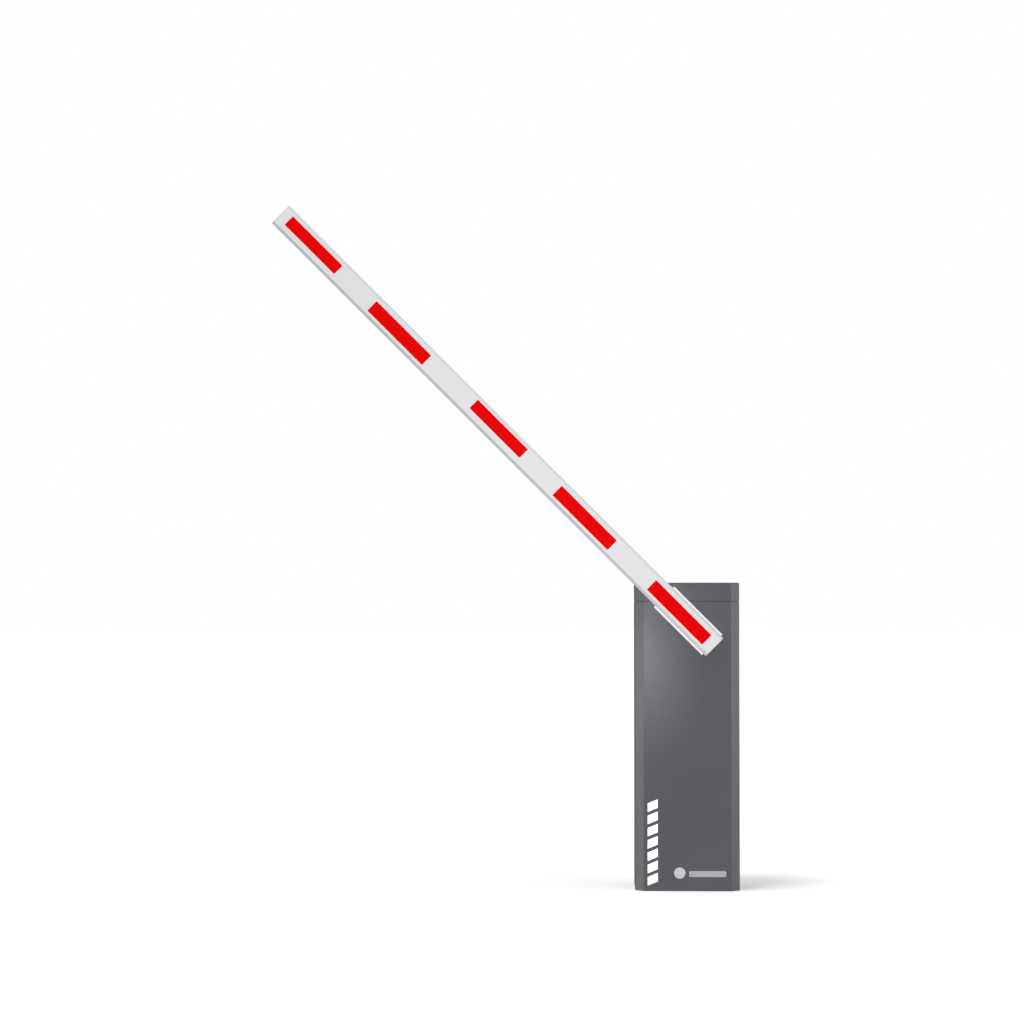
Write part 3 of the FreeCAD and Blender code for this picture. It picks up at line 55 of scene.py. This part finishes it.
# ---- node material helpers ------------------------------------------------------------------
class Surface:
    """A Principled material whose colour, roughness and bump come from procedural nodes."""

    def __init__(self, name, metallic=0.0, coat=0.0, coat_rough=0.1, specular=0.5):
        self.material = bpy.data.materials.new(name)
        self.material.use_nodes = True
        self.tree = self.material.node_tree
        self.shader = self.tree.nodes["Principled BSDF"]
        self.shader.inputs["Metallic"].default_value = metallic
        self.shader.inputs["Coat Weight"].default_value = coat
        self.shader.inputs["Coat Roughness"].default_value = coat_rough
        self.shader.inputs["Specular IOR Level"].default_value = specular
        self.place = self.add("ShaderNodeTexCoord").outputs["Object"]

    def add(self, kind, **settings):
        node = self.tree.nodes.new(kind)
        for key, value in settings.items():
            setattr(node, key, value)
        return node

    def link(self, source, target):
        self.tree.links.new(source, target)

    def noise(self, scale, detail=4.0, stretch=(1, 1, 1), rough=0.55):
        """Noise from 0 to 1, squeezed along an axis by a stretch above 1."""
        mapping = self.add("ShaderNodeMapping")
        mapping.inputs["Scale"].default_value = stretch
        self.link(self.place, mapping.inputs["Vector"])
        node = self.add("ShaderNodeTexNoise")
        node.inputs["Scale"].default_value = scale
        node.inputs["Detail"].default_value = detail
        node.inputs["Roughness"].default_value = rough
        self.link(mapping.outputs["Vector"], node.inputs["Vector"])
        return node.outputs["Fac"]

    def remap(self, value, low, high, to_low=0.0, to_high=1.0):
        node = self.add("ShaderNodeMapRange")
        for key, number in (("From Min", low), ("From Max", high), ("To Min", to_low), ("To Max", to_high)):
            node.inputs[key].default_value = number
        self.link(value, node.inputs["Value"])
        return node.outputs["Result"]

    def math(self, operation, a, b):
        node = self.add("ShaderNodeMath", operation=operation)
        for socket, value in zip(node.inputs, (a, b)):
            if isinstance(value, (int, float)):
                socket.default_value = value
            else:
                self.link(value, socket)
        return node.outputs["Value"]

    def blend(self, factor, first, second):
        """Colour between first and second, which are colours or sockets."""
        node = self.add("ShaderNodeMix", data_type="RGBA")
        self.link(factor, node.inputs["Factor"])
        for key, value in (("A", first), ("B", second)):
            socket = next(s for s in node.inputs if s.name == key and s.type == "RGBA")
            if isinstance(value, (tuple, list)):
                socket.default_value = (*value[:3], 1.0)
            else:
                self.link(value, socket)
        return next(s for s in node.outputs if s.type == "RGBA")

    def edge_mask(self, radius, width=0.12):
        """1 on convex and concave edges within radius, 0 on flats, and the rounded normal."""
        bevel = self.add("ShaderNodeBevel", samples=6)
        bevel.inputs["Radius"].default_value = radius
        geometry = self.add("ShaderNodeNewGeometry")
        dot = self.add("ShaderNodeVectorMath", operation="DOT_PRODUCT")
        self.link(bevel.outputs["Normal"], dot.inputs[0])
        self.link(geometry.outputs["Normal"], dot.inputs[1])
        return self.remap(dot.outputs["Value"], 1.0, 1.0 - width), bevel.outputs["Normal"]

    def finish(self, color, roughness, height=None, depth=0.0001, normal=None):
        self.link(color, self.shader.inputs["Base Color"])
        self.link(roughness, self.shader.inputs["Roughness"])
        bump = self.add("ShaderNodeBump")
        bump.inputs["Distance"].default_value = depth
        bump.inputs["Strength"].default_value = 1.0
        if height is not None:
            self.link(height, bump.inputs["Height"])
        if normal is not None:
            self.link(normal, bump.inputs["Normal"])
        self.link(bump.outputs["Normal"], self.shader.inputs["Normal"])
        return self.material


def shade(color, factor):
    return tuple(min(c * factor, 1.0) for c in color)


def powder_coat(name, color, grain=0.00005, rough=0.42, edge=0.0012):
    """Sprayed powder paint: fine orange peel, faint cloudiness and slightly thinner edges."""
    s = Surface(name, specular=0.45)
    cloud = s.noise(3.5, 5.0)
    peel = s.noise(420.0, 2.0)
    speck = s.noise(1600.0, 1.0)
    mask, normal = s.edge_mask(edge)
    base = s.blend(s.remap(cloud, 0.3, 0.7), shade(color, 0.95), shade(color, 1.05))
    base = s.blend(s.remap(speck, 0.35, 0.75, 0.0, 0.35), base, shade(color, 1.25))
    ragged = s.math("MULTIPLY", mask, s.remap(s.noise(90.0, 6.0), 0.45, 0.72))
    base = s.blend(ragged, base, shade(color, 1.35))
    roughness = s.remap(s.noise(24.0, 4.0), 0.25, 0.75, rough - 0.05, rough + 0.07)
    height = s.math("ADD", peel, s.math("MULTIPLY", speck, 0.35))
    return s.finish(base, roughness, height, grain, normal)


def metal(name, color, rough, brushed=(1, 1, 1), edge=0.0006, depth=0.00002, tone=0.08):
    """Turned, plated or brushed metal with fine marks along one direction and handled edges."""
    s = Surface(name, metallic=1.0)
    cloud = s.noise(14.0, 6.0)
    marks = s.noise(260.0, 3.0, brushed)
    mask, normal = s.edge_mask(edge)
    base = s.blend(s.remap(cloud, 0.3, 0.7), shade(color, 1 - tone), shade(color, 1 + tone))
    base = s.blend(s.math("MULTIPLY", mask, s.remap(marks, 0.3, 0.7)), base, shade(color, 1.25))
    grime = s.remap(s.noise(38.0, 8.0), 0.58, 0.74, 0.0, 0.35)
    base = s.blend(grime, base, shade(color, 0.55))
    mixed = s.math("ADD", s.math("MULTIPLY", marks, 0.6), s.math("MULTIPLY", cloud, 0.4))
    roughness = s.remap(mixed, 0.3, 0.7, rough - 0.07, rough + 0.1)
    return s.finish(base, roughness, marks, depth, normal)


def plastic(name, color, rough=0.4, grain=700.0, depth=0.00003, edge=0.0008, tone=0.05):
    """Moulded plastic with a fine spark-eroded texture."""
    s = Surface(name, specular=0.5)
    cloud = s.noise(11.0, 4.0)
    texture = s.noise(grain, 2.0)
    mask, normal = s.edge_mask(edge)
    base = s.blend(s.remap(cloud, 0.3, 0.7), shade(color, 1 - tone), shade(color, 1 + tone))
    base = s.blend(s.math("MULTIPLY", mask, 0.5), base, shade(color, 1.15))
    roughness = s.remap(s.noise(45.0, 4.0), 0.25, 0.75, rough - 0.06, rough + 0.08)
    return s.finish(base, roughness, texture, depth, normal)


def rubber(name, color):
    """Matt rubber with a patchy pale bloom."""
    s = Surface(name, specular=0.3)
    bloom = s.noise(30.0, 6.0)
    base = s.blend(s.remap(bloom, 0.4, 0.75), color, shade(color, 2.2))
    roughness = s.remap(bloom, 0.3, 0.7, 0.62, 0.82)
    return s.finish(base, roughness, s.noise(520.0, 3.0), 0.00006)


def film(name, lit_color, shaded_color, wall_color):
    """Retro-reflective film: sealed honeycomb cells under a clear face, with its sparkle painted as a fine
    mix of a lit and a shaded copy of its colour.
    """
    s = Surface(name, specular=0.005)
    cells = s.add("ShaderNodeTexVoronoi", feature="DISTANCE_TO_EDGE")
    cells.inputs["Scale"].default_value = 260.0
    cells.inputs["Randomness"].default_value = 0.12
    s.link(s.place, cells.inputs["Vector"])
    wall = s.remap(cells.outputs["Distance"], 0.02, 0.10)
    glitter = s.noise(900.0, 1.0)
    # Painted glint and painted shade: fine noise mixes a lit copy and a darker shaded copy of the film's
    # colour to stand in for its sparkle.
    lit = s.blend(s.remap(glitter, 0.3, 0.7), shaded_color, lit_color)
    base = s.blend(wall, wall_color, lit)
    roughness = s.remap(glitter, 0.3, 0.7, 0.32, 0.5)
    return s.finish(base, roughness, wall, 0.00003)


def populated_board(name, mask_color, part_color, top_color, face, top):
    """Solder mask up to the board's face, dark moulded parts on it, bare metal on the tallest ones."""
    s = Surface(name, specular=0.5)
    split = s.add("ShaderNodeSeparateXYZ")
    s.link(s.place, split.inputs["Vector"])
    depth = split.outputs["Y"]
    step = 0.1 * MM
    tracks = s.add("ShaderNodeTexBrick", offset=0.5, squash=1.0)
    tracks.inputs["Scale"].default_value = 130.0
    tracks.inputs["Mortar Size"].default_value = 0.035
    turn = s.add("ShaderNodeMapping")
    turn.inputs["Rotation"].default_value = (math.radians(90), 0.0, 0.0)
    s.link(s.place, turn.inputs["Vector"])
    s.link(turn.outputs["Vector"], tracks.inputs["Vector"])
    copper = s.remap(tracks.outputs["Fac"], 0.2, 0.8, 0.0, 0.55)
    base = s.blend(copper, mask_color, shade(mask_color, 2.4))
    base = s.blend(s.remap(depth, face + step, face + 2 * step), base, part_color)
    base = s.blend(s.remap(depth, top - 2 * step, top - step), base, top_color)
    base = s.blend(s.remap(s.noise(24.0, 5.0), 0.35, 0.75, 0.0, 0.25), base, (0.16, 0.15, 0.14))
    roughness = s.remap(s.noise(60.0, 4.0), 0.25, 0.75, 0.28, 0.42)
    return s.finish(base, roughness, tracks.outputs["Fac"], 0.00005)


def extruded_paint(name, color):
    """White paint on an extruded profile: faint draw lines along its length and soft road film."""
    s = Surface(name, coat=0.05, coat_rough=0.3, specular=0.3)
    turn = s.add("ShaderNodeMapping")
    turn.inputs["Rotation"].default_value = (0.0, math.radians(-45), 0.0)
    s.link(s.place, turn.inputs["Vector"])
    s.place = turn.outputs["Vector"]
    lines = s.noise(160.0, 3.0, (0.012, 1, 1))
    cloud = s.noise(5.0, 6.0)
    dirt = s.remap(s.noise(16.0, 8.0), 0.52, 0.78, 0.0, 0.22)
    mask, normal = s.edge_mask(0.0008)
    base = s.blend(s.remap(cloud, 0.3, 0.7), shade(color, 0.975), shade(color, 1.02))
    base = s.blend(dirt, base, shade(color, 0.93))
    base = s.blend(s.math("MULTIPLY", mask, 0.35), base, shade(color, 1.06))
    roughness = s.remap(cloud, 0.3, 0.7, 0.34, 0.46)
    return s.finish(base, roughness, lines, 0.00004, normal)


# Each film colour comes as a lit and a darker shaded copy, a painted glint and painted shade for the film's
# sparkle; the wall colour is the cell walls.
RED_LIT = (0.87, 0.001, 0.002)
RED_SHADED = (0.79, 0.001, 0.001)
RED_WALL = (0.82, 0.002, 0.003)
WHITE_LIT = (0.90, 0.90, 0.90)
WHITE_SHADED = (0.82, 0.82, 0.83)
WHITE_WALL = (0.80, 0.80, 0.80)
ANTHRACITE = (0.113, 0.111, 0.124)
BOOM_WHITE = (0.735, 0.735, 0.75)

cabinet_paint = powder_coat("anthracite_powder_coat", ANTHRACITE)
boom_paint = extruded_paint("boom_white_paint", BOOM_WHITE)
bracket_paint = powder_coat("bracket_white_powder_coat", (0.92, 0.92, 0.925), 0.00004, 0.38, 0.001)
cap_plastic = plastic("cap_white_plastic", (0.70, 0.70, 0.715), 0.45)
red_film = film("red_reflective_film", RED_LIT, RED_SHADED, RED_WALL)
black_rubber = rubber("black_rubber", (0.022, 0.022, 0.023))
grey_rubber = rubber("grey_rubber", (0.085, 0.085, 0.090))
black_plastic = plastic("black_plastic", (0.03, 0.03, 0.032), 0.42)
grey_plastic = plastic("grey_plastic", (0.42, 0.43, 0.42), 0.45)
light_plastic = plastic("light_grey_plastic", (0.62, 0.63, 0.63), 0.42)
zinc = metal("zinc_plate", (0.62, 0.62, 0.60), 0.36, (1, 1, 0.2))
stainless = metal("brushed_stainless", (0.60, 0.60, 0.59), 0.30, (1, 1, 0.06))
turned = metal("turned_steel", (0.48, 0.48, 0.48), 0.28, (0.15, 2, 0.15))
spring_steel = metal("spring_steel", (0.11, 0.11, 0.12), 0.38)
bronze = metal("sintered_bronze", (0.62, 0.40, 0.19), 0.34)
die_cast = metal("die_cast_alloy", (0.58, 0.58, 0.60), 0.44, depth=0.00008)
plate_enamel = plastic("plate_enamel", (0.50, 0.50, 0.51), 0.36)
white_film = film("white_reflective_film", WHITE_LIT, WHITE_SHADED, WHITE_WALL)
nickel = metal("nickel_plate", (0.66, 0.62, 0.52), 0.26)
cast_paint = powder_coat("cast_housing_paint", (0.055, 0.085, 0.12), 0.00015, 0.4)
BOARD_BACK, BOARD_FRONT = (corner.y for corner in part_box("control_board"))
BOARD_T = 1.6 * MM
board_finish = populated_board("populated_board", (0.012, 0.11, 0.045), (0.035, 0.036, 0.040),
                               (0.62, 0.62, 0.62), BOARD_BACK + BOARD_T, BOARD_FRONT)
motor_paint = powder_coat("motor_enamel", (0.030, 0.034, 0.040), 0.00008, 0.34)
supply_metal = metal("perforated_aluminium", (0.74, 0.75, 0.76), 0.33, (1, 1, 0.1))
button_red = plastic("button_red", (0.55, 0.02, 0.015), 0.35)
button_green = plastic("button_green", (0.02, 0.30, 0.07), 0.35)
button_black = plastic("button_black", (0.02, 0.02, 0.021), 0.35)

NODE_MATERIALS = {
    cabinet_paint: ("cabinet_shell", "top_cover", "service_door", "door_frame"),
    boom_paint: ("boom",),
    bracket_paint: ("boom_bracket",),
    cap_plastic: ("boom_cap_tip", "boom_cap_tail"),
    red_film: ("front_reflectors", "back_reflectors"),
    black_rubber: ("door_seal", "shaft_seal", "stop_pads"),
    grey_rubber: ("cover_gasket",),
    black_plastic: ("shaft_escutcheon",),
    light_plastic: ("circuit_breaker",),
    grey_plastic: ("terminal_blocks",),
    zinc: ("base_plate", "machine_frame", "frame_rails", "panel_uprights", "mounting_panel", "din_rail",
           "stop_brackets", "sensor_bracket", "spring_anchor", "bracket_fasteners",
           "frame_fasteners", "standoffs"),
    stainless: ("cabinet_hinges", "door_hinges", "lock_barrel", "lock_cam"),
    turned: ("hub_flange", "main_shaft", "rocker", "rocker_pin", "crank", "crank_pin", "crankshaft",
             "crank_gear", "pinion", "connecting_rod", "rod_ends", "bearing_inner_rings",
             "spring_collar", "position_flag", "nut_strip"),
    spring_steel: ("balance_spring",),
    bronze: ("crank_bushes",),
    die_cast: ("gearhead",),
    nickel: ("end_sensors",),
    cast_paint: ("bearing_housings",),
    board_finish: ("control_board",),
    motor_paint: ("motor",),
    supply_metal: ("power_supply",),
    button_green: ("button_up",),
    button_red: ("button_stop",),
    button_black: ("button_down", "breaker_toggle"),
}


def dress_cad_nodes():
    for material, names in NODE_MATERIALS.items():
        for name in names:
            mesh = NODES[name].data
            mesh.materials.clear()
            mesh.materials.append(material)


# ---- stage, light and camera ----------------------------------------------------------------
FLOOR_HALF, FLOOR_DROP = 60.0, 0.5 * MM
FLOOR_GLOW = 0.31            # lifts the floor to the white of the backdrop


def floor():
    """Pale floor that takes shadows; light from below comes from the dim half of the studio."""
    mesh = bpy.data.meshes.new("floor")
    corners = [(x * FLOOR_HALF, y * FLOOR_HALF, 0) for x, y in ((-1, -1), (1, -1), (1, 1), (-1, 1))]
    mesh.from_pydata(corners, [], [(0, 1, 2, 3)])
    plane = bpy.data.objects.new("floor", mesh)
    plane.location.z = -FLOOR_DROP
    plane.visible_diffuse = False
    plane.visible_glossy = False
    bpy.context.scene.collection.objects.link(plane)
    s = Surface("pale_floor", specular=0.0)
    cloud = s.noise(0.8, 3.0)
    base = s.blend(cloud, (0.93, 0.93, 0.93), (0.95, 0.95, 0.95))
    s.shader.inputs["Emission Color"].default_value = (1.0, 1.0, 1.0, 1.0)
    s.shader.inputs["Emission Strength"].default_value = FLOOR_GLOW
    mesh.materials.append(s.finish(base, s.remap(cloud, 0, 1, 0.8, 0.9)))


def lamp(name, kind, place, target, power, group, blockers=None, **settings):
    """Lamp that lights one group of objects; only the blockers, where given, cast its shadows."""
    data = bpy.data.lights.new(name, kind)
    data.energy = power
    for key, value in settings.items():
        setattr(data, key, value)
    obj = bpy.data.objects.new(name, data)
    obj.location = place
    obj.rotation_euler = (Vector(target) - Vector(place)).to_track_quat("-Z", "Y").to_euler()
    obj.light_linking.receiver_collection = group
    if blockers is not None:
        obj.light_linking.blocker_collection = blockers
    bpy.context.scene.collection.objects.link(obj)
    return obj


ARM_NODES = ("boom", "boom_cap_tip", "boom_cap_tail", "front_reflectors", "back_reflectors",
             "boom_bracket", "bracket_fasteners", "hub_flange", "nut_strip")
WHITE_PIECES = ("marker_strip",)
MATT_LAMPS = ("cabinet_front", "cabinet_back")     # they would mirror in the flat top of the cover
SKY, GROUND = 0.50, 0.12     # light from the upper and the lower half of the studio
HORIZON = (-0.15, 0.35)      # heights, on a unit sphere, between which one half fades into the other


def studio():
    """White backdrop to the eye; as light, bright from above and dim from below."""
    world = bpy.data.worlds.new("studio")
    bpy.context.scene.world = world
    world.use_nodes = True
    tree = world.node_tree
    back = tree.nodes["Background"]
    place = tree.nodes.new("ShaderNodeTexCoord")
    split = tree.nodes.new("ShaderNodeSeparateXYZ")
    tree.links.new(place.outputs["Generated"], split.inputs["Vector"])
    ramp = tree.nodes.new("ShaderNodeMapRange")
    low, high = HORIZON
    for key, number in (("From Min", low), ("From Max", high), ("To Min", GROUND), ("To Max", SKY)):
        ramp.inputs[key].default_value = number
    tree.links.new(split.outputs["Z"], ramp.inputs["Value"])
    ray = tree.nodes.new("ShaderNodeLightPath")
    mix = tree.nodes.new("ShaderNodeMix")
    tree.links.new(ray.outputs["Is Camera Ray"], mix.inputs["Factor"])
    tree.links.new(ramp.outputs["Result"], mix.inputs["A"])
    mix.inputs["B"].default_value = 1.0
    tree.links.new(mix.outputs["Result"], back.inputs["Strength"])
    back.inputs["Color"].default_value = (1.0, 1.0, 1.0, 1.0)


def normal_power(share, distance):
    """Power of an area light that adds a share of full white on a surface facing it."""
    return share * math.pi ** 2 * distance ** 2


def placed(target, direction, distance):
    """Point that lies a distance away from a target in a direction."""
    return Vector(target) + Vector(direction).normalized() * distance


def receivers(name, objects):
    """Collection for light linking; it isn't part of the scene's own collections."""
    group = bpy.data.collections.new(name)
    for obj in objects:
        group.objects.link(obj)
    return group


SOFTBOX = 1.6
SUN_PLACE, SUN_POWER, SUN_ANGLE = (-0.75, -0.6, 3.0), 1.1, math.radians(16)
GLOW_PLACE, GLOW_TARGET = (-0.13, -0.65, 0.86), (-0.235, -0.15, 0.73)
GLOW_POWER, GLOW_SIZE, GLOW_SPREAD = 0.25, (0.10, 0.34), math.radians(66)


def light():
    """Soft lamps: the arm from the front, the cabinet from both sides, the floor from overhead."""
    studio()
    ground_plane = bpy.data.objects["floor"]
    arm_parts = [NODES[name] for name in ARM_NODES]
    other_parts = [obj for obj in bpy.context.scene.objects
                   if obj.type == "MESH" and obj not in arm_parts and obj != ground_plane]
    arm = receivers("arm_receivers", arm_parts + [bpy.data.objects[name] for name in WHITE_PIECES])
    rest = receivers("cabinet_receivers", other_parts)
    ground = receivers("floor_receivers", [ground_plane])
    # name, target, direction from it, distance, share of full white, group
    for name, target, direction, distance, share, group in (
        ("arm_front", (-0.9, -0.2, 1.8), (0.18, -0.95, 0.10), 11.0, 0.68, arm),
        ("arm_back", (-0.6, -0.2, 1.5), (0.35, 0.85, 0.45), 6.0, 0.6, arm),
        ("arm_below", (-0.8, -0.2, 1.4), (-0.45, -0.10, -0.90), 5.0, 0.22, arm),
        ("cabinet_left", (0.0, 0.0, 0.1), (-0.93, -0.28, 0.02), 2.4, 0.38, rest),
        ("cabinet_right", (0.0, 0.0, 0.6), (0.93, -0.28, 0.05), 3.0, 0.34, rest),
        ("cabinet_front", (0.0, -0.15, 0.5), (0.10, -0.95, 0.25), 8.0, 0.48, rest),
        ("cabinet_back", (0.0, 0.0, 0.6), (0.35, 0.85, 0.45), 5.0, 0.7, rest),
    ):
        softbox = lamp(name, "AREA", placed(target, direction, distance), target,
                       normal_power(share, distance), group, group, shape="SQUARE", size=SOFTBOX)
        softbox.visible_glossy = name not in MATT_LAMPS
    lamp("overhead", "SUN", SUN_PLACE, (0.0, 0.0, 0.0), SUN_POWER, ground, angle=SUN_ANGLE)
    lamp("gradient_strip", "AREA", GLOW_PLACE, GLOW_TARGET, GLOW_POWER, rest, rest,
         shape="RECTANGLE", size=GLOW_SIZE[0], size_y=GLOW_SIZE[1], spread=GLOW_SPREAD)
    bpy.context.scene.view_settings.view_transform = "Standard"


EYE = (-0.30, -9.15, 1.00)
TURN_LEFT, TURN_UP = math.radians(1.83), math.radians(1.70)
CAMERA_DISTANCE = 9.0        # from the cabinet's front
SENSOR = 36.0
SCALE = 3.357 * MM           # metres on the cabinet's front for one picture element
PICTURE = 1024               # picture elements across


def camera():
    """Nearly square on, nine metres off, level with the top of the cabinet."""
    data = bpy.data.cameras.new("camera")
    data.sensor_width = SENSOR
    data.lens = CAMERA_DISTANCE / SCALE / PICTURE * SENSOR
    eye = bpy.data.objects.new("camera", data)
    eye.location = EYE
    eye.rotation_euler = Euler((math.pi / 2 + TURN_UP, 0.0, TURN_LEFT))
    bpy.context.scene.collection.objects.link(eye)
    bpy.context.scene.camera = eye


# ---- pieces ---------------------------------------------------------------------------------
def piece(name, verts, faces, material, body):
    """Mesh object with outward faces, its finish and the body that it rides on, if it has just one."""
    mesh = bpy.data.meshes.new(name)
    mesh.from_pydata([tuple(v) for v in verts], [], faces)
    mesh.update()
    work = bmesh.new()
    work.from_mesh(mesh)
    bmesh.ops.recalc_face_normals(work, faces=work.faces)
    work.to_mesh(mesh)
    work.free()
    mesh.materials.append(material)
    obj = bpy.data.objects.new(name, mesh)
    bpy.context.scene.collection.objects.link(obj)
    if body:
        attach(obj, body)
    return obj


def tube(path, radius, sides=14):
    """Closed round bar along a list of points, with the section kept from twisting."""
    points = [Vector(p) for p in path]
    verts, faces = [], []
    side = None
    for i, point in enumerate(points):
        ahead = points[min(i + 1, len(points) - 1)] - points[max(i - 1, 0)]
        ahead.normalize()
        side = ahead.orthogonal() if side is None else side - ahead * side.dot(ahead)
        side.normalize()
        other = ahead.cross(side)
        for k in range(sides):
            a = 2 * math.pi * k / sides
            verts.append(point + (side * math.cos(a) + other * math.sin(a)) * radius)
    for i in range(len(points) - 1):
        for k in range(sides):
            n = (k + 1) % sides
            faces.append((i * sides + k, i * sides + n, (i + 1) * sides + n, (i + 1) * sides + k))
    faces.append(tuple(range(sides - 1, -1, -1)))
    last = (len(points) - 1) * sides
    faces.append(tuple(last + k for k in range(sides)))
    return verts, faces


def relief(outline, y_back, thickness, lip):
    """Thin plate on an XZ outline, standing out towards -Y, with a bevelled front edge."""
    count = len(outline)
    cx = sum(x for x, _ in outline) / count
    cz = sum(z for _, z in outline) / count
    reach = max(math.hypot(x - cx, z - cz) for x, z in outline)
    inner = 1.0 - lip / reach
    verts = [(x, y_back, z) for x, z in outline]
    verts += [(x, y_back - thickness + lip, z) for x, z in outline]
    verts += [(cx + (x - cx) * inner, y_back - thickness, cz + (z - cz) * inner) for x, z in outline]
    faces = [tuple(range(count)), tuple(2 * count + i for i in range(count - 1, -1, -1))]
    for level in (0, 1):
        for i in range(count):
            n = (i + 1) % count
            faces.append((level * count + i, level * count + n, (level + 1) * count + n,
                          (level + 1) * count + i))
    return verts, faces


def merged(parts):
    """One mesh from several lists of vertices and faces."""
    verts, faces = [], []
    for part_verts, part_faces in parts:
        start = len(verts)
        verts += part_verts
        faces += [tuple(start + i for i in face) for face in part_faces]
    return verts, faces


def disc_outline(x, z, radius, count=40):
    angles = [2 * math.pi * i / count for i in range(count)]
    return [(x + radius * math.cos(a), z + radius * math.sin(a)) for a in angles]


def rounded_outline(x0, x1, z0, z1, radius, count=6):
    points = []
    for cx, cz, start in ((x1 - radius, z1 - radius, 0), (x0 + radius, z1 - radius, 90),
                          (x0 + radius, z0 + radius, 180), (x1 - radius, z0 + radius, 270)):
        for i in range(count + 1):
            a = math.radians(start + 90 * i / count)
            points.append((cx + radius * math.cos(a), cz + radius * math.sin(a)))
    return points


SPRING_Y = (-34.2 * MM, -1.4 * MM)
SPRING_R, SPRING_WIRE, SPRING_TURNS, SPRING_LEG = 33 * MM, 3.5 * MM, 4, 34 * MM
TURN_STEPS, LEG_STEPS = 40, 6
SHAFT_Z = 903 * MM


def balance_spring():
    """Torsion spring that winds up between the arm's collar and the anchor on the frame."""
    front, rear = SPRING_Y
    path = [(SPRING_R, front, SHAFT_Z + SPRING_LEG * (1 - i / LEG_STEPS)) for i in range(LEG_STEPS)]
    for i in range(SPRING_TURNS * TURN_STEPS + 1):
        a = 2 * math.pi * i / TURN_STEPS
        y = front + (rear - front) * i / (SPRING_TURNS * TURN_STEPS)
        path.append((SPRING_R * math.cos(a), y, SHAFT_Z - SPRING_R * math.sin(a)))
    path += [(SPRING_R, rear, SHAFT_Z - SPRING_LEG * i / LEG_STEPS) for i in range(1, LEG_STEPS + 1)]
    verts, faces = tube(path, SPRING_WIRE)
    spring = piece("torsion_spring", verts, faces, spring_steel, None)
    for polygon in spring.data.polygons:
        polygon.use_smooth = True
    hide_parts("balance_spring")
    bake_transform(spring)


MARK_X, MARK_Z = (-134 * MM, -100 * MM), (18 * MM, 306 * MM)
MARK_COUNT, MARK_SLANT, MARK_GAP = 7, 14 * MM, 12 * MM
FILM_T = 0.35 * MM


def marker_strip(front):
    """Column of slanted white reflective blocks on the foot of the cabinet's front."""
    (x0, x1), (z0, z1) = MARK_X, MARK_Z
    pitch = (z1 - z0 - MARK_SLANT + MARK_GAP) / MARK_COUNT
    parts = []
    for i in range(MARK_COUNT):
        low = z0 + i * pitch
        high = low + pitch - MARK_GAP
        outline = [(x0, low), (x1, low + MARK_SLANT), (x1, high + MARK_SLANT), (x0, high)]
        parts.append(relief(outline, front, FILM_T, FILM_T / 3))
    verts, faces = merged(parts)
    piece("marker_strip", verts, faces, white_film, "cabinet")


CAP_AT, CAP_R, CAP_T, CAP_LIP = (-27 * MM, 60 * MM), 19 * MM, 2.0 * MM, 0.7 * MM
PLATE_X, PLATE_Z, PLATE_T = (4 * MM, 128 * MM), (47 * MM, 67 * MM), 0.8 * MM
PLATE_CORNER, PLATE_LIP = 3 * MM, 0.25 * MM
RIVET_R, RIVET_INSET, RIVET_T, RIVET_LIP = 2.0 * MM, 5 * MM, 0.9 * MM, 0.6 * MM
RIVET_SIDES = 20


def foot_fittings(front):
    """Blank rating plate with two rivets, and the white cap of a fixing hole beside it."""
    verts, faces = relief(disc_outline(*CAP_AT, CAP_R), front, CAP_T, CAP_LIP)
    piece("fixing_cap", verts, faces, cap_plastic, "cabinet")
    (x0, x1), (z0, z1) = PLATE_X, PLATE_Z
    verts, faces = relief(rounded_outline(x0, x1, z0, z1, PLATE_CORNER), front, PLATE_T, PLATE_LIP)
    piece("rating_plate", verts, faces, plate_enamel, "cabinet")
    mid = (z0 + z1) / 2
    rivets = [relief(disc_outline(x, mid, RIVET_R, RIVET_SIDES), front - PLATE_T, RIVET_T, RIVET_LIP)
              for x in (x0 + RIVET_INSET, x1 - RIVET_INSET)]
    verts, faces = merged(rivets)
    piece("plate_rivets", verts, faces, stainless, "cabinet")


dress_cad_nodes()
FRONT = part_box("cabinet_shell")[0].y
balance_spring()
marker_strip(FRONT)
foot_fittings(FRONT)
floor()
light()
camera()
